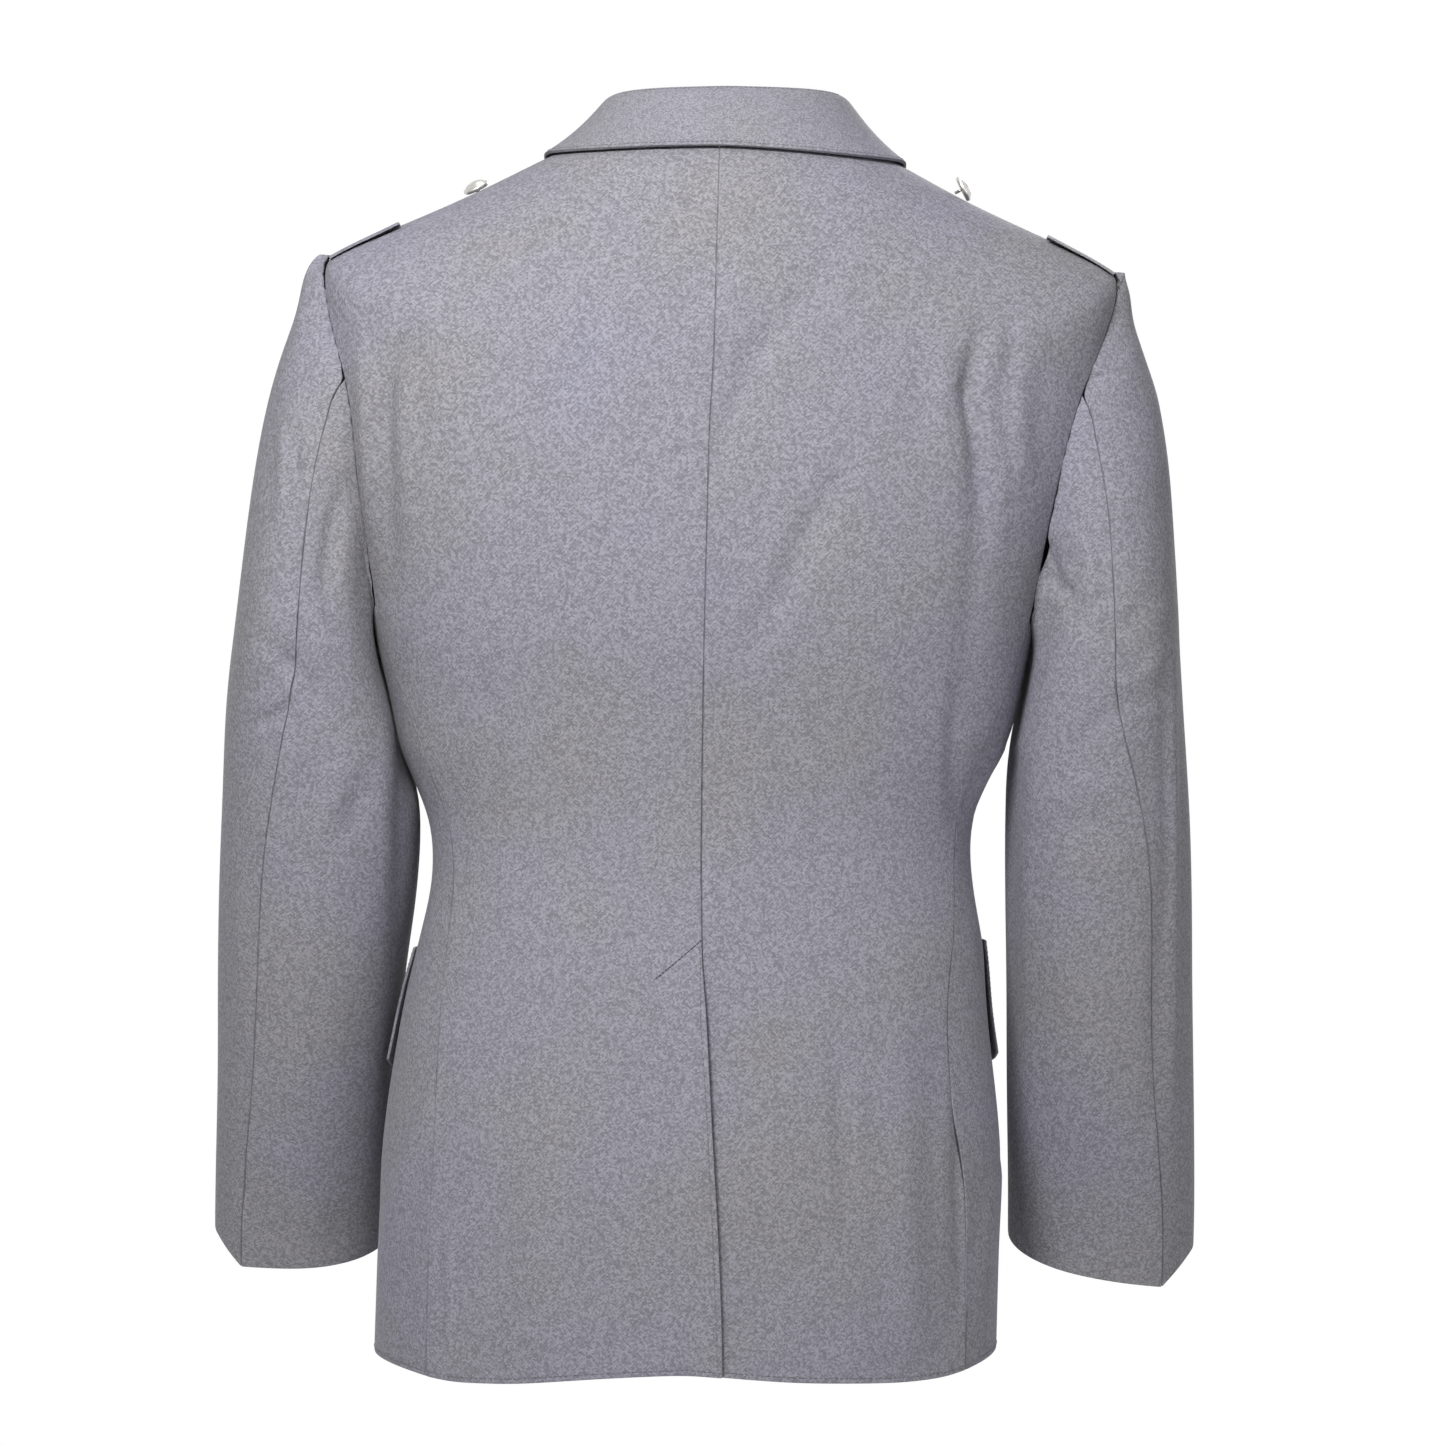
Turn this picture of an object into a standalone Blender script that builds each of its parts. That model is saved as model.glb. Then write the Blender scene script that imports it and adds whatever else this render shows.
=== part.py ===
"""Parade jacket in mid-grey worsted, filled out on no wearer: a hollow shell of cloth in its cut panels.

Built in metres with +Z up. The back faces +Y and the wearer's left is +X. The origin is the middle of
the neck opening, level with the side neck points. Sizes below are in millimetres.
"""

import bpy
import numpy as np

MM = 0.001
WALL = 2.0
SEAM_GAP = 0.3
LAYER_GAP = 1.0
HEM_Z = -727.0
VENT_TOP_Z = -477.0
VENT_FIRST_Z = -489.0
UNDERARM_DIP = 0.5
# Columns of the right back that go under the left one at the vent, by how far they reach, and how deep.
VENT_UNDERLAP = (32.0, 20.0, 8.0)
VENT_UNDERLAP_DEPTH = 2.9
# Width beside the vent over which the left back stands off.
VENT_LIFT_WIDE = 48.0
SHOULDER_RING = 4.0
LAST_RING = 21.0
RIDGE_POWER = 1.6
SHOULDER_SHIFT = 4.0
RIGHT_SHOULDER_RISE = 2.0
LEFT = 1
RIGHT = -1

# Girth rings from the neck down. Columns: ring number, side x, side z, back y, back z, front y, front z,
# squareness of the back and of the front.
RINGS = np.array(
    [
        (0, 74.0, 0.0, 52.0, -3.0, 62.0, -95.0, 2.0, 2.0),
        (1, 105.0, -14.0, 76.0, -24.0, 80.0, -112.0, 2.1, 2.0),
        (2, 142.0, -33.5, 91.0, -62.0, 97.0, -133.0, 2.3, 2.0),
        (3, 190.0, -56.6, 101.0, -102.0, 112.0, -158.0, 2.4, 2.05),
        (4, 234.0, -77.3, 107.0, -137.0, 122.0, -180.0, 2.5, 2.1),
        (5, 236.0, -112.0, 111.0, -166.0, 129.0, -203.0, 2.5, 2.1),
        (6, 233.0, -150.0, 115.0, -194.0, 134.0, -226.0, 2.5, 2.15),
        (7, 226.0, -190.0, 117.0, -222.0, 138.0, -250.0, 2.5, 2.2),
        (8, 214.0, -232.0, 118.0, -250.0, 140.0, -275.0, 2.5, 2.2),
        (9, 204.0, -270.0, 117.0, -280.0, 141.0, -300.0, 2.5, 2.2),
        (10, 195.5, -307.0, 113.0, -311.0, 141.0, -322.0, 2.5, 2.2),
        (11, 188.0, -340.0, 106.0, -342.0, 140.0, -348.0, 2.45, 2.2),
        (12, 180.0, -372.0, 101.0, -373.0, 139.0, -376.0, 2.4, 2.2),
        (13, 169.0, -392.0, 98.5, -392.0, 138.0, -394.0, 2.35, 2.2),
        (14, 162.3, -412.0, 97.5, -412.0, 137.5, -413.0, 2.3, 2.2),
        (15, 161.3, -440.0, 98.5, -440.0, 137.5, -440.0, 2.3, 2.2),
        (16, 168.0, -475.0, 105.0, -475.0, 139.0, -475.0, 2.3, 2.2),
        (17, 173.5, -510.0, 112.0, -510.0, 142.0, -510.0, 2.3, 2.2),
        (18, 178.5, -545.0, 118.0, -545.0, 145.0, -545.0, 2.3, 2.2),
        (19, 184.5, -590.0, 125.0, -590.0, 148.5, -590.0, 2.3, 2.2),
        (20, 187.0, -640.0, 129.0, -640.0, 150.0, -640.0, 2.3, 2.2),
        (21, 187.0, HEM_Z, 128.0, HEM_Z, 150.0, HEM_Z, 2.3, 2.2),
    ]
)
# How far the left side stands out more than the right. Columns: z, half the difference.
LEAN = np.array(
    [
        (-190, 1.5),
        (-230, 3.0),
        (-310, 2.5),
        (-344, 0.8),
        (-375, 2.7),
        (-395, 3.7),
        (-413, 1.2),
        (-440, -1.0),
        (-466, -2.2),
        (-492, -1.2),
        (-525, 1.2),
        (-560, 1.2),
        (-600, 1.2),
        (-727, 2.2),
    ]
)
# How far the hem hangs below its level. Columns: x, drop.
HEM_DROP = np.array(
    [(-190, -9), (-172, -2), (-150, 3), (-125, 4), (-60, 3), (0, -1), (50, 3), (100, 9), (140, 11), (190, 4)]
)
# Depth of the armhole's edge from the shoulder line. Columns: ring number, back y, front y.
ARMHOLE = np.array(
    [
        (4.0, 0.0, 0.0),
        (4.3, 13.0, 17.0),
        (4.6, 26.0, 33.0),
        (4.95, 38.0, 47.0),
        (5.3, 48.0, 58.0),
        (5.7, 56.0, 66.0),
        (6.2, 60.0, 70.0),
        (6.8, 61.0, 70.0),
        (7.4, 58.0, 68.0),
        (8.0, 53.0, 63.0),
        (8.6, 48.0, 56.0),
        (9.4, 41.0, 47.0),
    ]
)
BACK_SEAM_ROW = 5
FRONT_SEAM_ROW = 8
# Share of the depth at the seams below the armhole. Columns: z, left back seam, right back seam, front seam.
SIDE_SEAMS = np.array(
    [
        (-284, 0.355, 0.355, 0.335),
        (-318, 0.37, 0.41, 0.36),
        (-364, 0.52, 0.52, 0.42),
        (-400, 0.48, 0.44, 0.46),
        (-440, 0.50, 0.46, 0.48),
        (-490, 0.56, 0.56, 0.50),
        (-518, 0.59, 0.60, 0.50),
        (-570, 0.635, 0.617, 0.51),
        (-605, 0.655, 0.58, 0.52),
        (-727, 0.665, 0.545, 0.54),
    ]
)
# Centre back seam and, below the vent top, the left panel's edge. Columns: z, x.
CENTRE_EDGE = np.array(
    [
        (0, 3.3),
        (-80, 3.2),
        (-150, 1.0),
        (-280, 1.0),
        (-400, 0.0),
        (-440, -0.6),
        (-477, -2.2),
        (-489, -2.2),
        (-503, -4.0),
        (-530, -6.4),
        (-587, -10.7),
        (-650, -15.9),
        (-715, -19.7),
        (-740, -20.2),
    ]
)
# How far the left edge of the vent stands off the back. Columns: z, lift.
VENT_LIFT = np.array([(-477, 0.0), (-489, 3.4), (-530, 6.0), (-590, 6.5), (-650, 5.0), (-740, 4.2)])
# The fronts lap by twice this, and the lapels turn at a line from the break to the side of the neck.
FRONT_LAP = 19.0
FRONT_SHARES = (0.0, 0.14, 0.27, 0.40, 0.53, 0.65, 0.76, 0.85, 0.93, 1.0)
BREAK_Z = -262.0
# The right lapel comes out from under the left front here.
LOWER_BREAK_Z = -194.0
ROLL_TOP = (69.0, 20.0)
# Soft folds of the back. Columns: x and z of one end, x and z of the other, half-width, height.
BACK_FOLDS = (
    (-160, -112, -150, -155, 16, -2.2),
    (-150, -155, -160, -206, 16, -3.0),
    (-160, -206, -152, -372, 14, -2.4),
    (-178, -130, -176, -210, 14, 2.0),
    (190, -125, 196, -260, 12, -1.6),
    (-56, -92, -21, -134, 16, -1.2),
    (-21, -134, -10, -170, 16, -1.0),
    (-74, -214, -44, -262, 18, -1.4),
    (-44, -262, -20, -297, 18, -1.0),
    (12, -40, 50, -40, 14, -0.9),
    (-150, -485, -150, -720, 13, -2.2),
    (-78, -545, -82, -640, 16, -1.6),
    (150, -640, 152, -727, 14, 1.6),
)
# Sleeve rings by the height of their middle. Columns: z, inner x, outer x, front y, back y, squareness,
# fall of the ring towards the back, fall towards the outside.
SLEEVES = {
    LEFT: np.array(
        [
            (-250, 203, 277.5, -92, 84, 2.6, 0.0, 0.0),
            (-300, 197, 283.0, -90, 78, 2.6, 0.0, 0.0),
            (-350, 182, 287.5, -85, 68, 2.5, 0.0, 0.0),
            (-400, 169, 289.0, -82, 57, 2.3, 0.03, 0.0),
            (-450, 170.5, 290.8, -86, 44, 2.2, 0.08, 0.0),
            (-500, 176, 291.5, -93, 30, 2.2, 0.14, 0.0),
            (-570, 183, 291.7, -106, 6, 2.2, 0.22, 0.0),
            (-640, 188, 293.5, -117, -24, 2.2, 0.32, -0.05),
            (-673, 190, 294.0, -121, -37, 2.2, 0.37, -0.08),
        ],
        float,
    ),
    RIGHT: np.array(
        [
            (-250, 202, 279.2, -92, 84, 2.6, 0.0, 0.0),
            (-300, 196, 283.8, -90, 78, 2.6, 0.0, 0.0),
            (-350, 184, 288.5, -85, 68, 2.5, 0.0, 0.0),
            (-400, 182.5, 293.5, -82, 57, 2.3, 0.03, 0.0),
            (-450, 184, 297.0, -86, 44, 2.2, 0.08, 0.0),
            (-500, 186.5, 299.5, -93, 30, 2.2, 0.14, 0.0),
            (-570, 189.5, 304.0, -106, 6, 2.2, 0.24, 0.0),
            (-635, 193, 308.0, -117, -24, 2.2, 0.38, 0.03),
            (-664, 194, 309.0, -121, -37, 2.2, 0.46, 0.05),
        ],
        float,
    ),
}
CUFF_Z = {LEFT: -673.0, RIGHT: -664.0}
# How far the cuff hangs below its ring, lowest at the corner of the back seam. Columns: turn, left, right.
CUFF_DROP = np.array(
    [
        (-95, 0.0, 0.0),
        (-65, -4.0, -1.5),
        (-40, -3.0, -1.5),
        (-10, 0.0, 0.0),
        (20, 3.0, 3.0),
        (37, 6.5, 6.5),
        (50, 1.0, -1.0),
        (65, -3.5, -6.0),
        (85, -2.0, -4.0),
        (115, 0.0, 0.0),
    ]
)
# How far the sleeve head stands out beyond a plain blend. Columns: z, left, right.
HEAD_OUT = np.array(
    [(-60, 2.0, -1.5), (-105, 2.2, -2.6), (-132, 2.2, 1.6), (-165, 1.0, 3.4), (-195, -0.6, 2.0), (-260, -0.6, 0.0)]
)
SLEEVE_JOIN_Z = -300.0
SLEEVE_ROWS = 15
# Room between the sleeve and the body: at the armhole, and lower down.
ARMHOLE_ROOM = 0.9
SLEEVE_ROOM = 1.9
# Turn of the sleeve's back seam from straight back towards the outside. Columns: z, degrees.
SLEEVE_SEAM = np.array(
    [(-300, 0), (-330, 4), (-363, 15), (-392, 22), (-422, 27), (-543, 30), (-590, 33), (-640, 37), (-690, 37)]
)
FRONT_SEAM_TURN = 215.0
# Course of the sleeve head from the armhole to the biceps. Columns: share outwards, share downwards, puff.
SLEEVE_HEAD = (
    (0.00, 0.000, 0.0),
    (0.13, 0.004, 1.6),
    (0.25, 0.070, 1.2),
    (0.32, 0.150, 0.3),
    (0.50, 0.265, 0.0),
    (0.69, 0.420, 0.0),
    (0.85, 0.640, 0.0),
    (1.00, 1.000, 0.0),
)
# Creases of the sleeves at the back. Columns: side, x and z of one end, x and z of the other, width, height.
SLEEVE_FOLDS = (
    (LEFT, 226, -226, 232, -275, 10, -2.6),
    (LEFT, 262, -312, 228, -332, 8, -2.2),
    (LEFT, 232, -305, 250, -350, 8, -1.6),
    (LEFT, 262, -178, 262, -222, 9, -1.6),
    (RIGHT, 206, -252, 222, -274, 9, -3.0),
    (RIGHT, 228, -142, 244, -138, 7, -1.4),
    (RIGHT, 270, -270, 250, -300, 10, -1.6),
    (RIGHT, 252, -318, 228, -350, 10, -1.8),
    (RIGHT, 215, -372, 285, -380, 9, -1.2),
    (RIGHT, 215, -405, 285, -412, 9, -1.2),
)
FLAP_TOP_Z = {LEFT: -491.0, RIGHT: -478.0}
FLAP_DROP = 74.0
FLAP_REAR_Y = -8.0
FLAP_FRONT_X = 78.0
# Stand-off of the flap's lower rear corner from the cloth below it.
FLAP_STAND = {LEFT: 0.6, RIGHT: 0.6}
FLAP_RADIUS = 12.0
TAB_HALF_WIDTH = 21.0
TAB_START_RING = 3.93
TAB_END_RING = 3.08
# How high the tab and its underlay stand off the shoulder, from the sleeve end inwards.
TAB_LIFTS = (2.5, 2.7, 3.1, 3.7, 4.4, 5.1)
TAB_WALL = 1.6
UNDERLAY_START_RING = 3.5
UNDERLAY_LIFTS = (1.5, 1.8, 2.3, 2.9)
UNDERLAY_WALL = 1.0
UNDERLAY_INSET = 1.5
SHOULDER_BUTTONS = {
    LEFT: (149.4, -4.0, -33.0, 0.45, 0.27, 0.89),
    RIGHT: (143.6, 0.0, -27.2, 0.88, 0.05, 0.46),
}
SHOULDER_BUTTON_WIDE = 16.0
# Rounding of the shoulder's ridge at its end: X and Z of its middle, its reach, how far beside the ridge the
# cloth is lifted and over what width, and the drop of the ridge itself.
RIDGE_END = (234.0, -88.0)
RIDGE_SPREAD = 24.0
RIDGE_LIFT = 4.2
RIDGE_BESIDE = 15.0
RIDGE_LIFT_WIDE = 11.0
RIDGE_DROP = 1.0
RIDGE_DROP_WIDE = 6.0
# Room between a shank's foot and the cloth.
SHANK_ROOM = 0.9
FRONT_BUTTON_WIDE = 20.0
FRONT_BUTTON_Z = (-283.0, -355.0, -427.0, -499.0)
COLLAR_ANGLES = (0, 13, 26, 39, 51, 62, 72, 81, 90, 95, 100, 106, 113, 121, 130, 138)
# Where the collar's edge lies on the jacket. Columns: degrees from the centre back, ring number.
COLLAR_EDGE = np.array([(0, 0.60), (25, 0.70), (50, 0.88), (70, 1.00), (90, 1.07), (112, 1.14)])
STAND = np.array([(0, 28.3), (40, 27.0), (75, 24.6), (90, 22.8), (110, 17.5), (150, 7.0)])
# The right side of the collar stands up more than the left, by twice this.
STAND_TILT = 1.7
NOTCH = (42.0, -17.0)
COLLAR_POINT = (62.0, 3.0)
LAPEL_POINT = (76.0, -32.0)
# Mid grey cloth, dark pad and silver. Columns: name, colour, roughness, metal.
FINISHES = {
    "mid grey worsted": ((0.145, 0.143, 0.158), 0.85, 0.0),
    "charcoal felt": ((0.03, 0.03, 0.034), 0.95, 0.0),
    "silvered brass": ((0.62, 0.62, 0.60), 0.28, 1.0),
}


def clear_scene():
    for item in list(bpy.data.objects):
        bpy.data.objects.remove(item, do_unlink=True)


def smooth(table, key):
    """Row of the table at the key, smoothed between the rows. The key may rise or fall along the table."""
    keys = table[:, 0]
    if keys[-1] < keys[0]:
        table = table[::-1]
        keys = table[:, 0]
    values = table[:, 1:]
    key = min(max(key, keys[0]), keys[-1])
    i = min(int(np.searchsorted(keys, key, side="right")) - 1, len(keys) - 2)
    i = max(i, 0)
    step = keys[i + 1] - keys[i]
    t = (key - keys[i]) / step

    def slope(j):
        if j == 0 or j == len(keys) - 1:
            other = 1 if j == 0 else j - 1
            return (values[other] - values[j]) / (keys[other] - keys[j])
        before = (values[j] - values[j - 1]) / (keys[j] - keys[j - 1])
        after = (values[j + 1] - values[j]) / (keys[j + 1] - keys[j])
        return np.where(before * after > 0, 0.5 * (before + after), 0.0)

    rise = t * t * (3 - 2 * t)
    start = values[i] + rise * (values[i + 1] - values[i])
    lead = step * (t * (1 - t) ** 2 * slope(i) - t * t * (1 - t) * slope(i + 1))
    return start + lead


def ease(t):
    t = min(max(t, 0.0), 1.0)
    return t * t * (3 - 2 * t)


def unit(vector):
    return vector / np.linalg.norm(vector)


RING_STEPS = np.linspace(0.0, LAST_RING, 421)
RING_SIDE_Z = np.array([smooth(RINGS, step)[1] for step in RING_STEPS])


def ring_at_z(z):
    """Ring whose side lies at this height."""
    return float(np.interp(-z, -RING_SIDE_Z, RING_STEPS))


def fold_height(folds, x, z):
    """Sum of the soft ridges and troughs at a place seen from the back."""
    total = 0.0
    place = np.array((x, z))
    for x0, z0, x1, z1, width, height in folds:
        start = np.array((x0, z0), float)
        along = np.array((x1, z1), float) - start
        share = min(max(np.dot(place - start, along) / np.dot(along, along), 0.0), 1.0)
        away = np.linalg.norm(place - start - share * along)
        fade = 1.0 if 0.0 < share < 1.0 else 0.85
        total += fade * height * np.exp(-((away / width) ** 2))
    return total


def ring_point(angle, ring, side):
    """Point of the jacket's surface: 0 degrees is the centre back, 90 the side and 180 the centre front."""
    side_x, side_z, back_y, back_z, front_y, front_z, square_b, square_f = smooth(RINGS, ring)
    s = np.sin(np.radians(angle))
    c = np.cos(np.radians(angle))
    behind = c > 0
    square = square_b if behind else square_f
    depth = back_y if behind else front_y
    end_z = back_z if behind else front_z
    m = (abs(s) ** square + abs(c) ** square) ** (-1.0 / square)
    z = side_z + (end_z - side_z) * (abs(c) * m) ** RIDGE_POWER
    lean = side * smooth(LEAN, z)[0] if z < -190 else side * 1.5 * max(0.0, (z + 78) / -112)
    x = side * s * m * (side_x + lean * abs(s))
    low = ease((-600 - z) / 127)
    z -= low * float(np.interp(x, HEM_DROP[:, 0], HEM_DROP[:, 1]))
    return np.array((x, depth * c * m, z))


def ring_normal(angle, ring, side):
    low = max(ring - 0.05, 0.0)
    high = min(ring + 0.05, LAST_RING)
    across = ring_point(angle + 0.5, ring, side) - ring_point(angle - 0.5, ring, side)
    down = ring_point(angle, high, side) - ring_point(angle, low, side)
    return side * unit(np.cross(across, down))


def body_point(angle, ring, side):
    """Outer point of the cloth with its folds, and the direction out of it."""
    point = ring_point(angle, ring, side)
    normal = ring_normal(angle, ring, side)
    if normal[1] > 0:
        edge = ease((ring - 0.2) / 1.0) * ease(normal[1] / 0.3)
        point = point + normal * edge * fold_height(BACK_FOLDS, point[0], point[2])
    return point, normal


def angle_of_depth(ring, share, behind):
    """Angle at which the surface has this share of its greatest depth."""
    square = smooth(RINGS, ring)[6 if behind else 7]
    across = (1 - share**square) ** (1 / square)
    angle = np.degrees(np.arctan2(across, share))
    return angle if behind else 180 - angle


def side_edge(ring, behind, side):
    """Angle of a back's or a front's outer edge: shoulder seam, then armhole, then side seam."""
    if ring <= SHOULDER_RING:
        return 90.0
    values = smooth(RINGS, ring)
    depth = values[2] if behind else values[4]
    if ring <= ARMHOLE[-1, 0]:
        share = smooth(ARMHOLE, ring)[0 if behind else 1] / depth
    else:
        share = smooth(SIDE_SEAMS, values[1])[2 if not behind else 0 if side == LEFT else 1]
    return angle_of_depth(ring, share, behind)


JUNCTION_RING = ARMHOLE[-1, 0]
LOW_Z = np.concatenate(
    [
        np.linspace(HEM_Z, VENT_FIRST_Z, 12),
        np.linspace(VENT_TOP_Z, smooth(RINGS, JUNCTION_RING)[1], 10),
    ]
)
LOW_RINGS = [ring_at_z(z) for z in LOW_Z]
LOW_RINGS[0] = LAST_RING
LOW_RINGS[-1] = JUNCTION_RING
ARM_RINGS = list(ARMHOLE[::-1, 0][1:])
YOKE_RINGS = list(np.linspace(SHOULDER_RING, 0.0, 7)[1:])
PANEL_RINGS = LOW_RINGS + ARM_RINGS + YOKE_RINGS


def centre_x(z):
    return float(smooth(CENTRE_EDGE, z)[0])


def vent_lift(x, z):
    """How far the left back stands off beside its vent."""
    if z > VENT_TOP_Z:
        return 0.0
    return float(smooth(VENT_LIFT, z)[0]) * (1 - ease((x - centre_x(z)) / VENT_LIFT_WIDE))


def back_panel(side, columns=9):
    """Outer points and normals of a back, rows from the hem up and columns from the centre out."""
    under = VENT_UNDERLAP if side == RIGHT else ()
    points = []
    normals = []
    for ring in PANEL_RINGS:
        values = smooth(RINGS, ring)
        middle = centre_x(values[3])
        if side == RIGHT:
            middle = max(middle, -2.2) if values[3] < VENT_TOP_Z - 1 else middle
        start = np.degrees(side * middle / values[0])
        angles = [np.degrees(-x / values[0]) for x in under]
        angles += list(np.linspace(start, side_edge(ring, True, side), columns + 1))
        row = []
        row_normals = []
        for angle in angles:
            point, normal = body_point(angle, ring, side)
            if side == LEFT:
                point = point + normal * vent_lift(point[0], values[3])
            elif point[2] < VENT_TOP_Z - 4:
                point = point - normal * VENT_UNDERLAP_DEPTH * ease((point[0] + 6) / 16)
            row.append(point)
            row_normals.append(normal)
        points.append(row)
        normals.append(row_normals)
    return np.array(points), np.array(normals), len(under)


def side_panel(side, columns=6):
    points = []
    normals = []
    count = len(LOW_RINGS)
    for i, ring in enumerate(LOW_RINGS):
        start = side_edge(ring, True, side)
        end = side_edge(ring, False, side)
        fall = ease((i - (count - 6)) / 5)
        row = [
            body_point(
                start + (end - start) * u,
                ring + UNDERARM_DIP * fall * np.sin(np.pi * u),
                side,
            )
            for u in np.linspace(0, 1, columns + 1)
        ]
        points.append([point for point, _ in row])
        normals.append([normal for _, normal in row])
    return np.array(points), np.array(normals)


def roll_x(z):
    """Distance of the roll line from the middle, or of the front edge below the break."""
    if z <= BREAK_Z:
        return -FRONT_LAP
    share = (z - BREAK_Z) / (ROLL_TOP[1] - BREAK_Z)
    return -FRONT_LAP + share * (ROLL_TOP[0] + FRONT_LAP)


def front_edge(ring, side):
    """Angle at which the front's surface reaches the roll line or the front edge."""
    low = 90.5
    high = 190.0
    for _ in range(40):
        middle = 0.5 * (low + high)
        point = ring_point(middle, ring, side)
        if side * point[0] > roll_x(point[2]):
            low = middle
        else:
            high = middle
    return low


def lap_depth(x, z, side):
    """How far the right front lies below the left where they lap; x is measured outwards."""
    if side == LEFT:
        return 0.0
    return 3.4 * ease((60 - x) / 36)


def front_point(angle, ring, side):
    point, normal = body_point(angle, ring, side)
    depth = lap_depth(side * point[0], point[2], side)
    return point - normal * depth, normal


def front_panel(side):
    points = []
    normals = []
    for ring in PANEL_RINGS:
        start = side_edge(ring, False, side)
        end = front_edge(ring, side)
        row = [front_point(start + (end - start) * share, ring, side) for share in FRONT_SHARES]
        points.append([point for point, _ in row])
        normals.append([normal for _, normal in row])
    return np.array(points), np.array(normals)


def pull_back(points, sides, gap=SEAM_GAP / 2):
    """Move the named edges of a grid inwards, so that neighbours keep the seam gap."""
    moved = points.copy()
    if "first_row" in sides:
        moved[0] += gap * direction(points[1] - points[0])
    if "last_row" in sides:
        moved[-1] += gap * direction(points[-2] - points[-1])
    if "first_column" in sides:
        moved[:, 0] += gap * direction(points[:, 1] - points[:, 0])
    if "last_column" in sides:
        moved[:, -1] += gap * direction(points[:, -2] - points[:, -1])
    return moved


def settle(points):
    """The neck and the shoulders sit a little to the right, and the right shoulder is higher."""
    moved = np.array(points, float)
    share = np.clip((moved[:, 2] + 200) / 140, 0, 1)
    moved[:, 0] -= SHOULDER_SHIFT * share * share * (3 - 2 * share)
    beside = np.clip((-moved[:, 0] - 150) / 45, 0, 1)
    above = np.clip((moved[:, 2] + 260) / 170, 0, 1)
    moved[:, 2] += RIGHT_SHOULDER_RISE * beside * beside * (3 - 2 * beside) * above
    return moved + ridge_rounding(moved)


def ridge_rounding(points):
    """Move of points that turns the shoulder's ridge into a round where the sleeve starts."""
    x, y, z = np.abs(points[:, 0]), points[:, 1], points[:, 2]
    near = np.exp(-(((x - RIDGE_END[0]) / RIDGE_SPREAD) ** 2) - ((z - RIDGE_END[1]) / RIDGE_SPREAD) ** 2)
    lift = RIDGE_LIFT * np.exp(-(((np.abs(y) - RIDGE_BESIDE) / RIDGE_LIFT_WIDE) ** 2))
    drop = RIDGE_DROP * np.exp(-((y / RIDGE_DROP_WIDE) ** 2))
    slant = 0.5 * np.clip(y / RIDGE_BESIDE, -1, 1)
    return np.stack([0 * x, near * lift * slant, near * (lift - drop)], axis=1)


def direction(vectors):
    return vectors / np.linalg.norm(vectors, axis=-1, keepdims=True)


def grid_normals(points, closed=False):
    """Directions out of a grid whose rows go up and whose columns go round against the clock from above."""
    if closed:
        across = np.roll(points, -1, axis=1) - np.roll(points, 1, axis=1)
    else:
        across = np.gradient(points, axis=1)
    along = np.gradient(points, axis=0)
    return direction(np.cross(across, along))


def cloth(name, points, normals, finish="mid grey worsted", wall=WALL, keep=None):
    """One closed wall: the outer points, the inner points one wall below, and rims round the edges."""
    rows, columns = points.shape[:2]
    outer = points.reshape(-1, 3)
    inner = (points - wall * normals).reshape(-1, 3)
    count = rows * columns
    facing = np.cross(points[1, 0] - points[0, 0], points[0, 1] - points[0, 0])
    flip = np.dot(facing, normals[0, 0]) < 0
    faces = []
    edges = {}
    for i in range(rows - 1):
        for j in range(columns - 1):
            if keep is not None and not keep(i, j):
                continue
            a = i * columns + j
            quad = [a, a + columns, a + columns + 1, a + 1]
            if flip:
                quad = quad[::-1]
            faces.append(quad)
            faces.append([v + count for v in quad[::-1]])
            for k in range(4):
                edge = (quad[k], quad[(k + 1) % 4])
                if edge[::-1] in edges:
                    del edges[edge[::-1]]
                else:
                    edges[edge] = True
    for a, b in edges:
        faces.append([b, a, a + count, b + count])
    used = sorted({v for face in faces for v in face})
    number = {v: i for i, v in enumerate(used)}
    every = settle(np.concatenate([outer, inner]))
    corners = [tuple(every[v] * MM) for v in used]
    return add_mesh(name, corners, [[number[v] for v in face] for face in faces], finish)


def add_mesh(name, corners, faces, finish):
    mesh = bpy.data.meshes.new(name)
    mesh.from_pydata([tuple(float(value) for value in corner) for corner in corners], [], faces)
    mesh.update()
    item = bpy.data.objects.new(name, mesh)
    colour, rough, metal = FINISHES[finish]
    material = bpy.data.materials.new(name + " " + finish)
    material.use_nodes = True
    shader = material.node_tree.nodes["Principled BSDF"]
    shader.inputs["Base Color"].default_value = (*colour, 1.0)
    shader.inputs["Roughness"].default_value = rough
    shader.inputs["Metallic"].default_value = metal
    mesh.materials.append(material)
    jacket.objects.link(item)
    return item


def sleeve_ring_point(turn, z, side):
    """Point of the sleeve: 0 degrees is straight back, 90 outwards, 180 forwards and 270 inwards."""
    inner, outer, front, back, square, fall_back, fall_out = smooth(SLEEVES[side], z)
    s = np.sin(np.radians(turn))
    c = np.cos(np.radians(turn))
    m = (abs(s) ** square + abs(c) ** square) ** (-1.0 / square)
    across = 0.5 * (outer - inner) * s * m
    along = 0.5 * (back - front) * c * m
    x = 0.5 * (inner + outer) + across
    y = 0.5 * (front + back) + along
    return np.array((x, y, z - fall_back * along - fall_out * across))


def cuff_drop(turn, z, side):
    low = ease((CUFF_Z[side] + 60 - z) / 60)
    turn = (turn + 180) % 360 - 180
    return low * float(np.interp(turn, CUFF_DROP[:, 0], CUFF_DROP[:, 1 if side == LEFT else 2]))


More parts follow.
